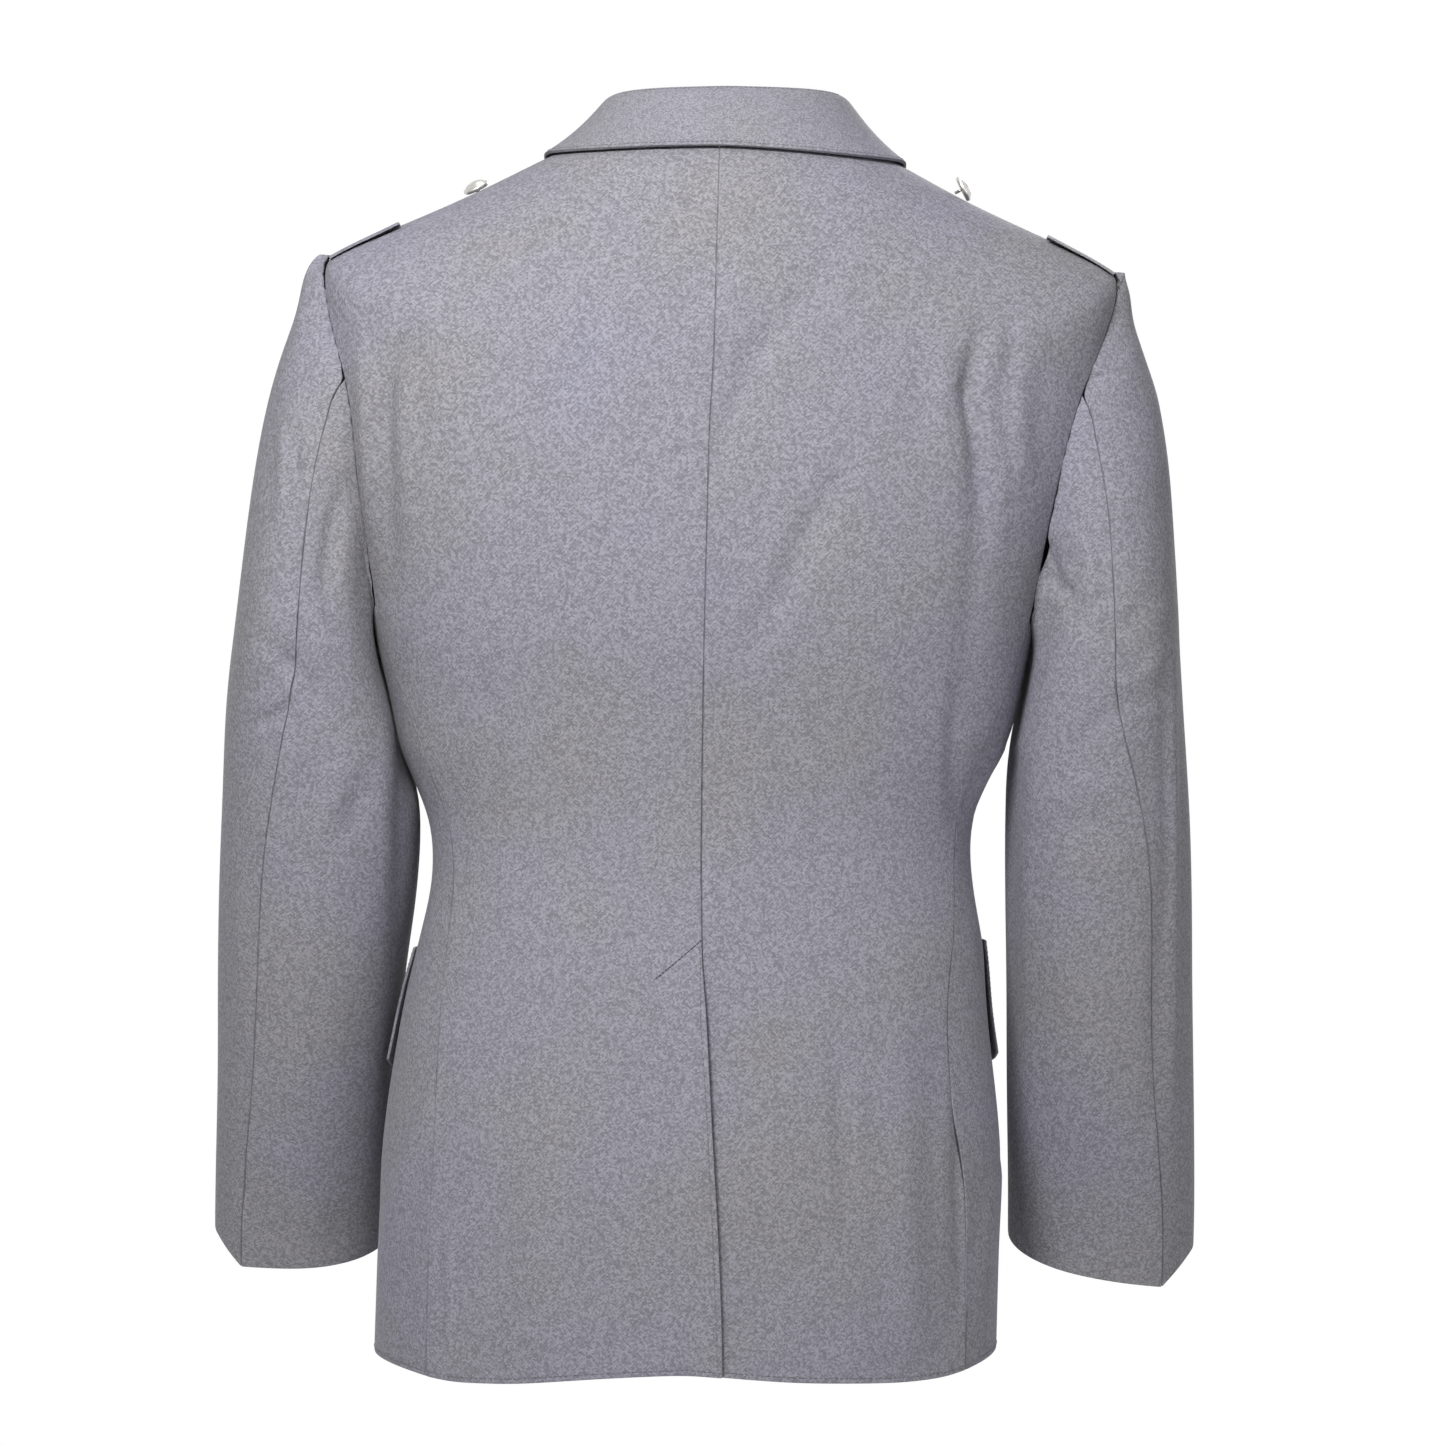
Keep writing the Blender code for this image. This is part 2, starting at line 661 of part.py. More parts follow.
def body_half_width(y, z, side):
    """Distance from the middle to the jacket's side at a height and depth."""
    values = smooth(RINGS, ring_at_z(z))
    depth = values[2] if y > 0 else values[4]
    square = values[6] if y > 0 else values[7]
    near = abs(y) / depth
    if near >= 1:
        return 0.0
    lean = side * smooth(LEAN, z)[0]
    return (values[0] + lean) * (1 - near**square) ** (1 / square)


def clear_of_body(point, side, room):
    """Move a sleeve point out where it would press into the jacket's side or its pocket flap."""
    x, y, z = point
    flap = ease((-468 - z) / 14) * ease((z + 576) / 14) * ease((10 - y) / 12)
    stand = FLAP_STAND[side] + 3.6
    needed = body_half_width(y, z, side) + room + flap * stand
    over = (x - needed) / 2.0
    soft = 2.0 * (np.log1p(np.exp(-abs(over))) + max(over, 0.0))
    return np.array((needed + soft, y, z))


def armhole_loop(side):
    """Points and normals round the armhole, from the sleeve's back seam over the shoulder and under the arm."""
    rings = list(ARMHOLE[:, 0])
    back = [body_point(side_edge(ring, True, side), ring, side) for ring in rings]
    front = [body_point(side_edge(ring, False, side), ring, side) for ring in rings]
    points, normals = side_panel(side)
    under = list(zip(points[-1], normals[-1]))
    loop = back[BACK_SEAM_ROW::-1] + front[1:] + under[-2:0:-1] + back[:BACK_SEAM_ROW:-1]
    return loop


TOP_COLUMNS = BACK_SEAM_ROW + FRONT_SEAM_ROW


def sleeve_grid(side):
    """Outer points of a whole sleeve, rows from the armhole down and columns round it."""
    loop = armhole_loop(side)
    under_columns = len(loop) - TOP_COLUMNS
    points = []
    for i, (hole, hole_normal) in enumerate(loop):
        hole = hole * np.array((side, 1, 1))
        hole_normal = hole_normal * np.array((side, 1, 1))

        def turn(z, i=i):
            back_turn = float(smooth(SLEEVE_SEAM, z)[0])
            if i <= TOP_COLUMNS:
                return back_turn + (FRONT_SEAM_TURN - back_turn) * i / TOP_COLUMNS
            share = (i - TOP_COLUMNS) / under_columns
            return FRONT_SEAM_TURN + (360 + back_turn - FRONT_SEAM_TURN) * share

        join_z = min(SLEEVE_JOIN_Z, hole[2] - 34)
        join = sleeve_ring_point(turn(join_z), join_z, side)
        start = hole + 0.5 * hole_normal
        column = []
        upright = ease(hole_normal[2] / 0.6)
        for k, (out, down, puff) in enumerate(SLEEVE_HEAD):
            down = max(down, (1 - upright) * 0.45 * out)
            point = start * (1 - np.array((out, out, down))) + join * np.array((out, out, down))
            point = point + hole_normal * puff * ease((hole[2] + 300) / 90)
            beyond = float(smooth(HEAD_OUT, point[2])[0 if side == LEFT else 1])
            point[0] += beyond * min(k / 2, 1.0) * ease((point[0] - 225) / 30)
            if point[2] < -255 and k > 0:
                room = ARMHOLE_ROOM + (SLEEVE_ROOM - ARMHOLE_ROOM) * min(k / 5, 1.0)
                point = clear_of_body(point, side, room)
            column.append(point)
        for k in range(1, SLEEVE_ROWS + 1):
            z = join_z + (CUFF_Z[side] - join_z) * k / SLEEVE_ROWS
            point = sleeve_ring_point(turn(z), z, side)
            point[2] -= cuff_drop(turn(z), z, side)
            column.append(clear_of_body(point, side, SLEEVE_ROOM))
        points.append(column)
    grid = np.array(points).transpose(1, 0, 2)
    normals = -grid_normals(grid, closed=True)
    middle = grid.mean(axis=1, keepdims=True)
    if np.mean(np.sum(normals * (grid - middle), axis=-1)[12:]) < 0:
        normals = -normals
    folds = [fold[1:] for fold in SLEEVE_FOLDS if fold[0] == side]
    for row in range(1, len(grid)):
        for i in range(grid.shape[1]):
            if normals[row, i, 1] > 0.15:
                height = fold_height(folds, grid[row, i, 0], grid[row, i, 2])
                grid[row, i] += normals[row, i] * height * ease(normals[row, i, 1] / 0.5)
    mirror = np.array((side, 1, 1))
    return grid * mirror, normals * mirror


def sleeve_pieces(side, label):
    grid, normals = sleeve_grid(side)
    round_again = np.concatenate([grid, grid[:, :1]], axis=1)
    normals_again = np.concatenate([normals, normals[:, :1]], axis=1)
    edges = ("first_row", "first_column", "last_column")
    halves = (("top_sleeve_", 0, TOP_COLUMNS), ("under_sleeve_", TOP_COLUMNS, grid.shape[1]))
    for name, start, end in halves:
        part = pull_back(round_again[:, start : end + 1], edges, 0.2)
        part[0] += 0.2 * direction(part[1] - part[0])
        cloth(name + label, part, normals_again[:, start : end + 1])


def front_place(x, z, side):
    """Outer point and normal of a front at a place seen from the front; x is measured outwards."""
    # The search starts a little above, half way round the front.
    ring = ring_at_z(z + 20)
    angle = 150.0
    turn = 0.2
    drop = 0.02
    aim = np.array((x, z))
    for _ in range(25):
        here = front_point(angle, ring, side)[0]
        miss = aim - np.array((side * here[0], here[2]))
        if np.abs(miss).max() < 0.01:
            break
        right = (front_point(angle + turn, ring, side)[0] - here) / turn
        down = (front_point(angle, min(ring + drop, LAST_RING), side)[0] - here) / drop
        jacobian = np.array(((side * right[0], side * down[0]), (right[2], down[2])))
        step = np.linalg.solve(jacobian, miss)
        angle = min(max(angle + np.clip(step[0], -15, 15), 92.0), 205.0)
        ring = min(max(ring + np.clip(step[1], -1, 1), 0.0), LAST_RING - 0.03)
    return front_point(angle, ring, side)


def gorge_start(side):
    """Where the neck seam meets the roll line."""
    return ring_point(front_edge(0.0, side), 0.0, side)


def roll_section(start, crest_height, outward, up):
    """The turned fold of a lapel or a collar's end: up from the edge, over the crest and down outside."""
    return (
        start + up * 1.0,
        start + up * (0.62 * crest_height) - outward * 1.2,
        start + up * crest_height + outward * 0.6,
        start + up * (0.93 * crest_height) + outward * 3.6,
    )


def lapel(side, label, rows=12):
    """Turned-out lapel, rows from the break up to the gorge, columns from the roll line out."""
    gorge = gorge_start(side)
    gorge_x = side * gorge[0]
    gorge_z = gorge[2]
    along = unit(np.array((ROLL_TOP[0] + FRONT_LAP, ROLL_TOP[1] - BREAK_Z)))
    across = np.array((along[1], -along[0]))
    low_z = BREAK_Z + 2 if side == LEFT else LOWER_BREAK_Z
    low = np.array((roll_x(low_z), low_z))
    top = np.array((gorge_x, gorge_z)) - along * 0.6
    outer_low = low + across * 3.2 + along * 6
    outer_top = np.array((gorge_x + LAPEL_POINT[0], gorge_z + LAPEL_POINT[1]))
    notch = np.array((gorge_x + NOTCH[0], gorge_z + NOTCH[1]))
    grid = []
    for i in range(rows + 1):
        t = i / rows
        roll = low + (top - low) * t
        belly = 5.0 * np.sin(np.pi * t) ** 0.8
        edge = outer_low + (outer_top - outer_low) * t + across * belly
        base, normal = front_place(roll[0], roll[1], side)
        outward = np.array((side * across[0], 0.0, across[1]))
        outward = unit(outward - normal * np.dot(outward, normal))
        crest = 4.2 + 3.0 * t
        width = np.linalg.norm(edge - roll)
        narrow = min(1.0, width / 16)
        row = list(roll_section(base, crest * (0.75 + 0.25 * narrow), outward * narrow, normal))
        for share in (0.2, 0.5, 0.62, 0.8, 1.0):
            flat = roll + (edge - roll) * share
            if t > 0.75:
                bend = (t - 0.75) / 0.25
                knee = roll + (notch - roll) * share / 0.6 if share <= 0.6 else None
                if knee is None:
                    knee = notch + (edge - notch) * (share - 0.6) / 0.4
                flat = flat + (knee - flat) * bend**2
            place, out = front_place(flat[0], flat[1], side)
            lift = WALL + LAYER_GAP + 0.4 + (crest - 3.4) * max(0.0, 1 - share / 0.5) ** 2 * 0.8
            row.append(place + out * lift)
        grid.append(row)
    points = np.array(grid)
    points[-1] -= 0.45 * direction(points[-1] - points[-2])
    normals = side * grid_normals(points)
    if np.mean(normals[:, -2, 1]) > 0:
        normals = -normals
    cloth("lapel_" + label, points, normals)


def collar():
    """Stand and fall in one sheet: columns round the neck from the left gorge to the right one."""
    columns = []
    ends = {side: front_edge(0.0, side) for side in (LEFT, RIGHT)}
    stops = [(LEFT, angle) for angle in (ends[LEFT],) + COLLAR_ANGLES[:0:-1]]
    stops += [(RIGHT, angle) for angle in COLLAR_ANGLES + (ends[RIGHT],)]
    for side, angle in stops:
        end = ends[side]
        seam = ring_point(angle, 0.0, side)
        normal = ring_normal(angle, 0.0, side)
        outward = unit(np.array((seam[0], seam[1], 0.0)))
        up = np.array((0.0, 0.0, 1.0))
        turn = ease((angle - 80) / (end - 80))
        rise = unit(up * (1 - turn) + normal * turn)
        outward = unit(outward * (1 - turn) + turn * collar_out(seam, normal, side))
        height = float(smooth(STAND, angle * (150 / end) if angle > 110 else angle)[0])
        height -= side * STAND_TILT * np.sin(np.radians(min(angle, 90))) * (1 - turn)
        lean = (7.0 - 2.5 * ease(angle / 80)) * (1 - turn)
        crest = seam + rise * height - outward * lean
        start = seam + normal * 0.8
        thin = 0.45 + 0.55 * ease((height - 6) / 12)
        column = [
            start,
            start + (crest - start) * 0.5 - outward * 0.8,
            crest - rise * 4.2 * thin - outward * 3.0 * thin,
            crest,
            crest + outward * 3.6 * thin - rise * 1.6 * thin,
        ]
        column += collar_fall(angle, end, side, crest, outward, rise, turn)
        columns.append(column)
    points = np.array(columns).transpose(1, 0, 2)
    normals = grid_normals(points)
    if np.mean(normals[3, :, 2]) < 0:
        normals = -normals
    points = pull_back(points, ("first_column", "last_column"), 0.4)
    cloth("collar", points, normals)


def collar_out(seam, normal, side):
    along = unit(np.array((ROLL_TOP[0] + FRONT_LAP, ROLL_TOP[1] - BREAK_Z)))
    out = np.array((side * along[1], 0.0, -along[0]))
    return unit(out - normal * np.dot(out, normal))


def collar_fall(angle, end, side, crest, outward, rise, turn):
    """Points of the collar's fall, from beside the crest down to its free edge."""
    first = crest + outward * (7.5 - 1.2 * ease(angle / 80)) - rise * 5.0 * (1 - 0.6 * turn)
    gorge = gorge_start(side)
    gorge_x = side * gorge[0]
    if angle <= 112:
        low, out = body_point(angle, float(smooth(COLLAR_EDGE, angle)[0]), side)
        edge = low + out * (WALL + 1.3)
        knee = first + (edge - first) * 0.5 + out * (1.8 - 3.8 * ease(angle / 80))
        shares = (0.0, 0.25, 0.5, 0.75, 1.0)
        return [quadratic(first, knee + (knee - 0.5 * (first + edge)), edge, t) for t in shares]
    t = (angle - 112) / (end - 112)
    edge_start = body_point(112, float(smooth(COLLAR_EDGE, 112)[0]), side)[0]
    begin = np.array((side * edge_start[0], edge_start[2]))
    finish = np.array((gorge_x + COLLAR_POINT[0], gorge[2] + COLLAR_POINT[1]))
    edge = begin + (finish - begin) * t
    notch = np.array((gorge_x + NOTCH[0], gorge[2] + NOTCH[1]))
    origin = np.array((side * first[0], first[2]))
    fall = []
    for share in (0.0, 0.25, 0.5, 0.75, 1.0):
        flat = origin + (edge - origin) * share
        if share <= 0.62:
            knee = origin + (notch - origin) * share / 0.62
        else:
            knee = notch + (edge - notch) * (share - 0.62) / 0.38
        flat = flat + (knee - flat) * t**3
        if share == 0.0:
            fall.append(first)
            continue
        place, out = front_place(flat[0], flat[1], side)
        above = np.dot(first - place, out)
        lift = WALL + 1.3 + max(above - 4, 0) * (1 - share) ** 2 * 0.55 + 1.0 * (1 - share)
        fall.append(place + out * lift)
    return fall


def quadratic(a, b, c, t):
    return a * (1 - t) ** 2 + b * 2 * t * (1 - t) + c * t * t


def pocket_flap(side, label, columns=10, rows=4):
    """Hip flap, columns from its rear edge at the side to its front edge, rows from the lower edge up."""
    top = FLAP_TOP_Z[side]
    grid = []
    for i in range(rows + 1):
        up = i / rows
        row = []
        for j in range(columns + 1):
            along = j / columns
            z = top - FLAP_DROP * (1 - up)
            ring = ring_at_z(z)
            values = smooth(RINGS, ring)
            rear = angle_of_depth(ring, -FLAP_REAR_Y / values[4], False)
            front = front_angle_of_x(FLAP_FRONT_X, ring, values)
            angle = rear + (front - rear) * along
            inset = flap_corner(along, up)
            point, normal = front_point(angle, ring, side)
            point[2] += inset
            stand = FLAP_STAND[side] * np.exp(-((along / 0.16) ** 2)) * np.sin(np.pi * min(1 - up, 0.62) / 1.24)
            row.append((point + normal * (WALL + 0.7 + stand + 0.8 * (1 - up)), normal))
        grid.append(row)
    points = np.array([[p for p, _ in row] for row in grid])
    normals = np.array([[n for _, n in row] for row in grid])
    cloth("pocket_flap_" + label, points, normals)


def flap_corner(along, up):
    """Rounding of the flap's lower corners."""
    near = min(along, 1 - along)
    return FLAP_RADIUS * 0.5 * (1 - up) ** 3 * max(0.0, 1 - near / 0.1) ** 2


def front_angle_of_x(x, ring, values):
    share = x / values[0]
    near = (1 - share ** values[7]) ** (1 / values[7])
    return angle_of_depth(ring, near, False)


def shoulder_strap(name, side, rings, lifts, half_width, wall, finish):
    """Strap across the shoulder line, following the cloth below it."""
    grid = []
    for ring, lift in zip(rings, lifts):
        values = smooth(RINGS, ring)
        row = []
        for share in np.linspace(-1, 1, 5):
            depth = share * half_width
            behind = depth > 0
            near = abs(depth) / (values[2] if behind else values[4])
            point, normal = body_point(angle_of_depth(ring, near, behind), ring, side)
            row.append((point + normal * lift, normal))
        grid.append(row)
    points = np.array([[p for p, _ in row] for row in grid])
    normals = np.array([[n for _, n in row] for row in grid])
    cloth(name, points, normals, finish, wall)


def button(name, centre, axis, wide, shank, steps=14):
    """Domed metal button with a rolled rim and a short wire shank behind it."""
    axis = unit(np.array(axis, float))
    across = unit(np.cross(axis, np.array((0.31, 0.9, 0.2))))
    other = np.cross(axis, across)
    r = wide / 2
    # Columns: radius and height above the button's middle plane, from the shank's foot up to the dome.
    section = (
        (0.07 * wide, -shank),
        (0.07 * wide, -0.10 * wide),
        (0.80 * r, -0.10 * wide),
        (0.95 * r, -0.07 * wide),
        (r, 0.0),
        (0.95 * r, 0.05 * wide),
        (0.84 * r, 0.055 * wide),
        (0.70 * r, 0.13 * wide),
        (0.40 * r, 0.20 * wide),
    )
    corners = []
    for radius, height in section:
        for k in range(steps):
            turn = 2 * np.pi * k / steps
            place = centre + axis * height + radius * (across * np.cos(turn) + other * np.sin(turn))
            corners.append(place)
    last = len(section) - 1
    corners.append(centre + axis * 0.225 * wide)
    corners.append(centre - axis * shank)
    corners = settle(corners) * MM
    faces = []
    for i in range(last):
        for k in range(steps):
            n = (k + 1) % steps
            faces.append([i * steps + k, i * steps + n, (i + 1) * steps + n, (i + 1) * steps + k])
    for k in range(steps):
        n = (k + 1) % steps
        faces.append([last * steps + k, last * steps + n, len(section) * steps])
        faces.append([n, k, len(section) * steps + 1])
    return add_mesh(name, corners, faces, "silvered brass")


def shoulder_button(side, label):
    x, y, z, out, back, up = SHOULDER_BUTTONS[side]
    axis = unit(np.array((side * out, back, up)))
    centre = np.array((side * x, y, z))
    cloth_points = []
    for ring in np.linspace(1.6, 2.7, 56):
        values = smooth(RINGS, ring)
        for depth in np.linspace(-9, 9, 19):
            near = abs(depth) / (values[2] if depth > 0 else values[4])
            cloth_points.append(body_point(angle_of_depth(ring, near, depth > 0), ring, side))
    places = np.array([point for point, _ in cloth_points])
    normals = np.array([normal for _, normal in cloth_points])
    across = unit(np.cross(axis, np.array((0.0, 1.0, 0.0))))
    other = np.cross(axis, across)
    foot = 0.07 * SHOULDER_BUTTON_WIDE
    shank = 0.1 * SHOULDER_BUTTON_WIDE + 0.1
    while shank < 12.0:
        heights = []
        for turn in np.linspace(0, 2 * np.pi, 13):
            corner = centre - axis * shank + foot * (across * np.cos(turn) + other * np.sin(turn))
            nearest = int(np.argmin(np.linalg.norm(places - corner, axis=1)))
            heights.append(np.dot(corner - places[nearest], normals[nearest]))
        if min(heights) < SHANK_ROOM:
            break
        shank += 0.1
    button("shoulder_button_" + label, centre, axis, SHOULDER_BUTTON_WIDE, shank)


def front_buttons():
    for number, z in enumerate(FRONT_BUTTON_Z, start=1):
        point, normal = front_place(0.0, z, LEFT)
        shank = 0.26 * FRONT_BUTTON_WIDE
        centre = point + normal * (shank + 0.3)
        button(f"front_button_{number}", centre, normal, FRONT_BUTTON_WIDE, shank)


clear_scene()
jacket = bpy.data.collections.new("parade_jacket")
bpy.context.scene.collection.children.link(jacket)

for side, label in ((LEFT, "left"), (RIGHT, "right")):
    points, normals, under = back_panel(side)
    first_under_row = int(np.argmin(np.abs(LOW_Z - VENT_FIRST_Z)))
    if side == LEFT:
        eased = pull_back(points, ("last_column", "last_row"))
        centre = pull_back(points, ("first_column",))
        eased[:, 0] = centre[:, 0]
        cloth("back_left", eased, normals)
    else:
        eased = pull_back(points, ("last_column", "last_row"))
        seam = pull_back(points[:, under:], ("first_column",))
        eased[first_under_row + 1 :, under] = seam[first_under_row + 1 :, 0]
        cloth(
            "back_right",
            eased,
            normals,
            keep=lambda i, j: j >= under or i < first_under_row,
        )
    points, normals = side_panel(side)
    cloth("side_" + label, pull_back(points, ("first_column", "last_column", "last_row")), normals)
    points, normals = front_panel(side)
    cloth("front_" + label, pull_back(points, ("first_column",)), normals)
    sleeve_pieces(side, label)
    lapel(side, label)
    pocket_flap(side, label)
    shoulder_strap(
        "shoulder_tab_" + label,
        side,
        np.linspace(TAB_START_RING, TAB_END_RING, len(TAB_LIFTS)),
        TAB_LIFTS,
        TAB_HALF_WIDTH,
        TAB_WALL,
        "mid grey worsted",
    )
    shoulder_strap(
        "tab_underlay_" + label,
        side,
        np.linspace(UNDERLAY_START_RING, TAB_END_RING, len(UNDERLAY_LIFTS)),
        UNDERLAY_LIFTS,
        TAB_HALF_WIDTH - UNDERLAY_INSET,
        UNDERLAY_WALL,
        "charcoal felt",
    )
    shoulder_button(side, label)
collar()
front_buttons()
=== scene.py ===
"""Grey parade jacket: its cloth, creases, seams, stitches and buttons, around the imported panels.

Metres, with +Z up. The back faces +Y, the wearer's left is +X, and the camera looks at the back.
"""

import math

import bpy
import numpy as np
from mathutils import Matrix, Vector
from mathutils.bvhtree import BVHTree
from mathutils.kdtree import KDTree


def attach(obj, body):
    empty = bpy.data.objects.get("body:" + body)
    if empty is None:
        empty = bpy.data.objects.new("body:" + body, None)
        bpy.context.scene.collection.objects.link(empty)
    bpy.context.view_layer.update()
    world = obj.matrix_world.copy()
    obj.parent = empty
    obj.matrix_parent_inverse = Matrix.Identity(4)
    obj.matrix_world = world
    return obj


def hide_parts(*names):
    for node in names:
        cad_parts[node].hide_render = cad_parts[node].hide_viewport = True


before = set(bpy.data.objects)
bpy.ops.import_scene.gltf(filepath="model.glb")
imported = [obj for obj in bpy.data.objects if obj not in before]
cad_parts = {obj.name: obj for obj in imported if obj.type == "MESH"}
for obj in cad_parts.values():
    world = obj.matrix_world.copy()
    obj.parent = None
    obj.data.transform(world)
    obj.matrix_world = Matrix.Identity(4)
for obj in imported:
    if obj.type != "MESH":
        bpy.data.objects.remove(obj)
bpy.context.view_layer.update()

MM = 0.001
SIDES = (("left", 1), ("right", -1))

# The photo's frame: its size in pixels, and the camera's distance, aim and lean.
PHOTO_PIXELS = 1445
CAMERA_DISTANCE = 3.0
METRES_PER_PIXEL = 0.0006
AIM_X = -0.0108
AIM_Z = -0.351
CAMERA_LEAN = 0.025
SENSOR_MM = 36.0

# How each piece of cloth was cut, in metres and square metres. Columns: node, width, length, flat area, how
# it is held, what holds it, subdivision levels, angle in degrees that counts as a cut edge.
CLOTH_CUTS = (
    ("back_left", 0.250, 0.745, 0.1510, "hung", ("neck",), 3, 62),
    ("back_right", 0.250, 0.745, 0.1530, "hung", ("neck",), 3, 62),
    ("side_left", 0.170, 0.450, 0.0650, "hung", ("back_left", "front_left"), 2, 50),
    ("side_right", 0.170, 0.450, 0.0625, "hung", ("back_right", "front_right"), 2, 50),
    ("front_left", 0.290, 0.730, 0.1550, "hung", ("neck",), 2, 63),
    ("front_right", 0.290, 0.730, 0.1525, "hung", ("neck",), 2, 63),
    ("lapel_left", 0.100, 0.280, 0.0115, "folded", ("front_left",), 2, 75),
    ("lapel_right", 0.095, 0.200, 0.0078, "folded", ("front_right",), 2, 75),
    ("collar", 0.500, 0.090, 0.0305, "folded", ("back_left", "back_right"), 2, 75),
    ("top_sleeve_left", 0.250, 0.620, 0.1155, "hung", ("back_left", "front_left"), 3, 64),
    ("top_sleeve_right", 0.250, 0.620, 0.1180, "hung", ("back_right", "front_right"), 3, 60),
    ("under_sleeve_left", 0.200, 0.500, 0.0790, "hung", ("top_sleeve_left",), 2, 69),
    ("under_sleeve_right", 0.200, 0.500, 0.0790, "hung", ("top_sleeve_right",), 2, 69),
    ("pocket_flap_left", 0.170, 0.080, 0.0128, "hung", ("front_left",), 2, 50),
    ("pocket_flap_right", 0.170, 0.080, 0.0128, "hung", ("front_right",), 2, 50),
    ("shoulder_tab_left", 0.044, 0.054, 0.0022, "laid", ("tab_underlay_left",), 2, 50),
    ("shoulder_tab_right", 0.044, 0.054, 0.0022, "laid", ("tab_underlay_right",), 2, 50),
    ("tab_underlay_left", 0.040, 0.026, 0.0010, "laid", ("back_left",), 2, 50),
    ("tab_underlay_right", 0.040, 0.026, 0.0010, "laid", ("back_right",), 2, 50),
)
# Rounding of a panel's cut edge, so that a seam shows as a fine groove, that of a small piece as a share of
# it, and how far each edge goes over the solids' gap of 0.3 mm to touch its neighbour.
EDGE_ROUNDING = 1.0 * MM
SMALL_ROUNDING = 0.6
SEAM_TAKE_UP = 0.15 * MM
# Joining a solid's triangles: nearer vertices are one, and these turns in degrees still make a quad.
MERGE_DISTANCE = 0.02 * MM
QUAD_TURN = 35
QUAD_SHAPE = 60
# A face beside a cut edge is the wall's thin side if its area is under this share of the other's.
THIN_SHARE = 0.5
# Kept out of divisions by nothing.
TINY = 1e-9
SMALL_PIECES = ("shoulder_tab", "tab_underlay")

# Creases of the body's back, read from the photo. Each is a line of points.
# Columns: photo x, photo y, height in mm (a trough is negative), half-width in mm.
BACK_CREASES = (
    ((410, 330, -0.2, 10), (400, 346, -1.0, 9), (385, 376, -1.8, 9), (382, 420, -1.9, 9),
     (383, 490, -1.3, 9.5), (388, 590, -0.3, 12)),
    ((350, 300, 0.4, 12), (358, 380, 1.6, 10), (364, 470, 1.6, 10), (372, 560, 0.4, 10)),
    ((418, 350, -0.6, 12), (418, 395, -1.2, 11), (416, 450, -0.5, 12)),
    ((998, 300, -0.3, 9), (980, 338, -1.4, 8), (970, 390, -2.6, 8.5), (978, 440, -2.2, 8.5),
     (984, 500, -1.3, 10), (972, 600, -0.7, 12), (966, 720, -0.5, 12)),
    ((1013, 290, -0.4, 8), (1014, 350, -0.9, 8), (1008, 400, -0.2, 8)),
    ((1024, 370, 0.4, 10), (1022, 420, 1.2, 10), (1026, 470, 0.5, 10)),
    ((945, 320, 0.6, 13), (940, 400, 1.6, 13), (952, 490, 0.8, 13)),
    ((830, 262, -0.6, 15), (785, 320, -1.7, 14), (750, 362, -2.0, 13), (726, 430, -1.4, 13),
     (718, 480, -0.3, 13)),
    ((770, 240, 0.3, 16), (735, 290, 1.2, 16), (700, 350, 1.0, 16)),
    ((860, 440, -0.4, 13), (815, 520, -1.5, 13), (785, 590, -1.5, 13), (745, 650, -0.4, 13)),
    ((612, 205, 0.0, 12), (660, 203, -0.8, 9), (705, 200, -0.7, 9)),
    ((958, 690, -0.4, 8), (955, 760, -0.9, 8), (962, 830, -0.4, 8)),
    ((966, 960, -0.4, 9), (965, 1060, -1.6, 8), (962, 1180, -1.6, 8), (965, 1300, -1.0, 9)),
    ((836, 1030, -0.3, 10), (842, 1110, -1.2, 9), (848, 1200, -0.8, 10), (850, 1260, -0.2, 10)),
    ((905, 1040, 0.4, 16), (905, 1200, 1.4, 16), (912, 1340, 0.8, 16)),
    ((560, 980, 0.3, 22), (540, 1150, 1.2, 24), (530, 1330, 1.0, 24)),
    ((640, 1020, -0.3, 18), (632, 1180, -0.9, 18), (640, 1330, -0.5, 18)),
    ((447, 1235, 0.6, 4), (448, 1290, 1.0, 4), (449, 1346, 0.6, 4)),
)
SIDE_CREASES = (
    ((441, 1060, 0.5, 5), (427, 1110, 1.6, 6), (414, 1142, 1.8, 6), (398, 1187, 1.4, 7), (388, 1235, 0.6, 7)),
    ((1004, 748, 0.6, 5), (988, 773, 1.4, 5), (976, 800, 0.4, 6)),
    ((1000, 1180, 0.5, 8), (985, 1260, 1.0, 8), (982, 1330, 0.4, 8)),
)
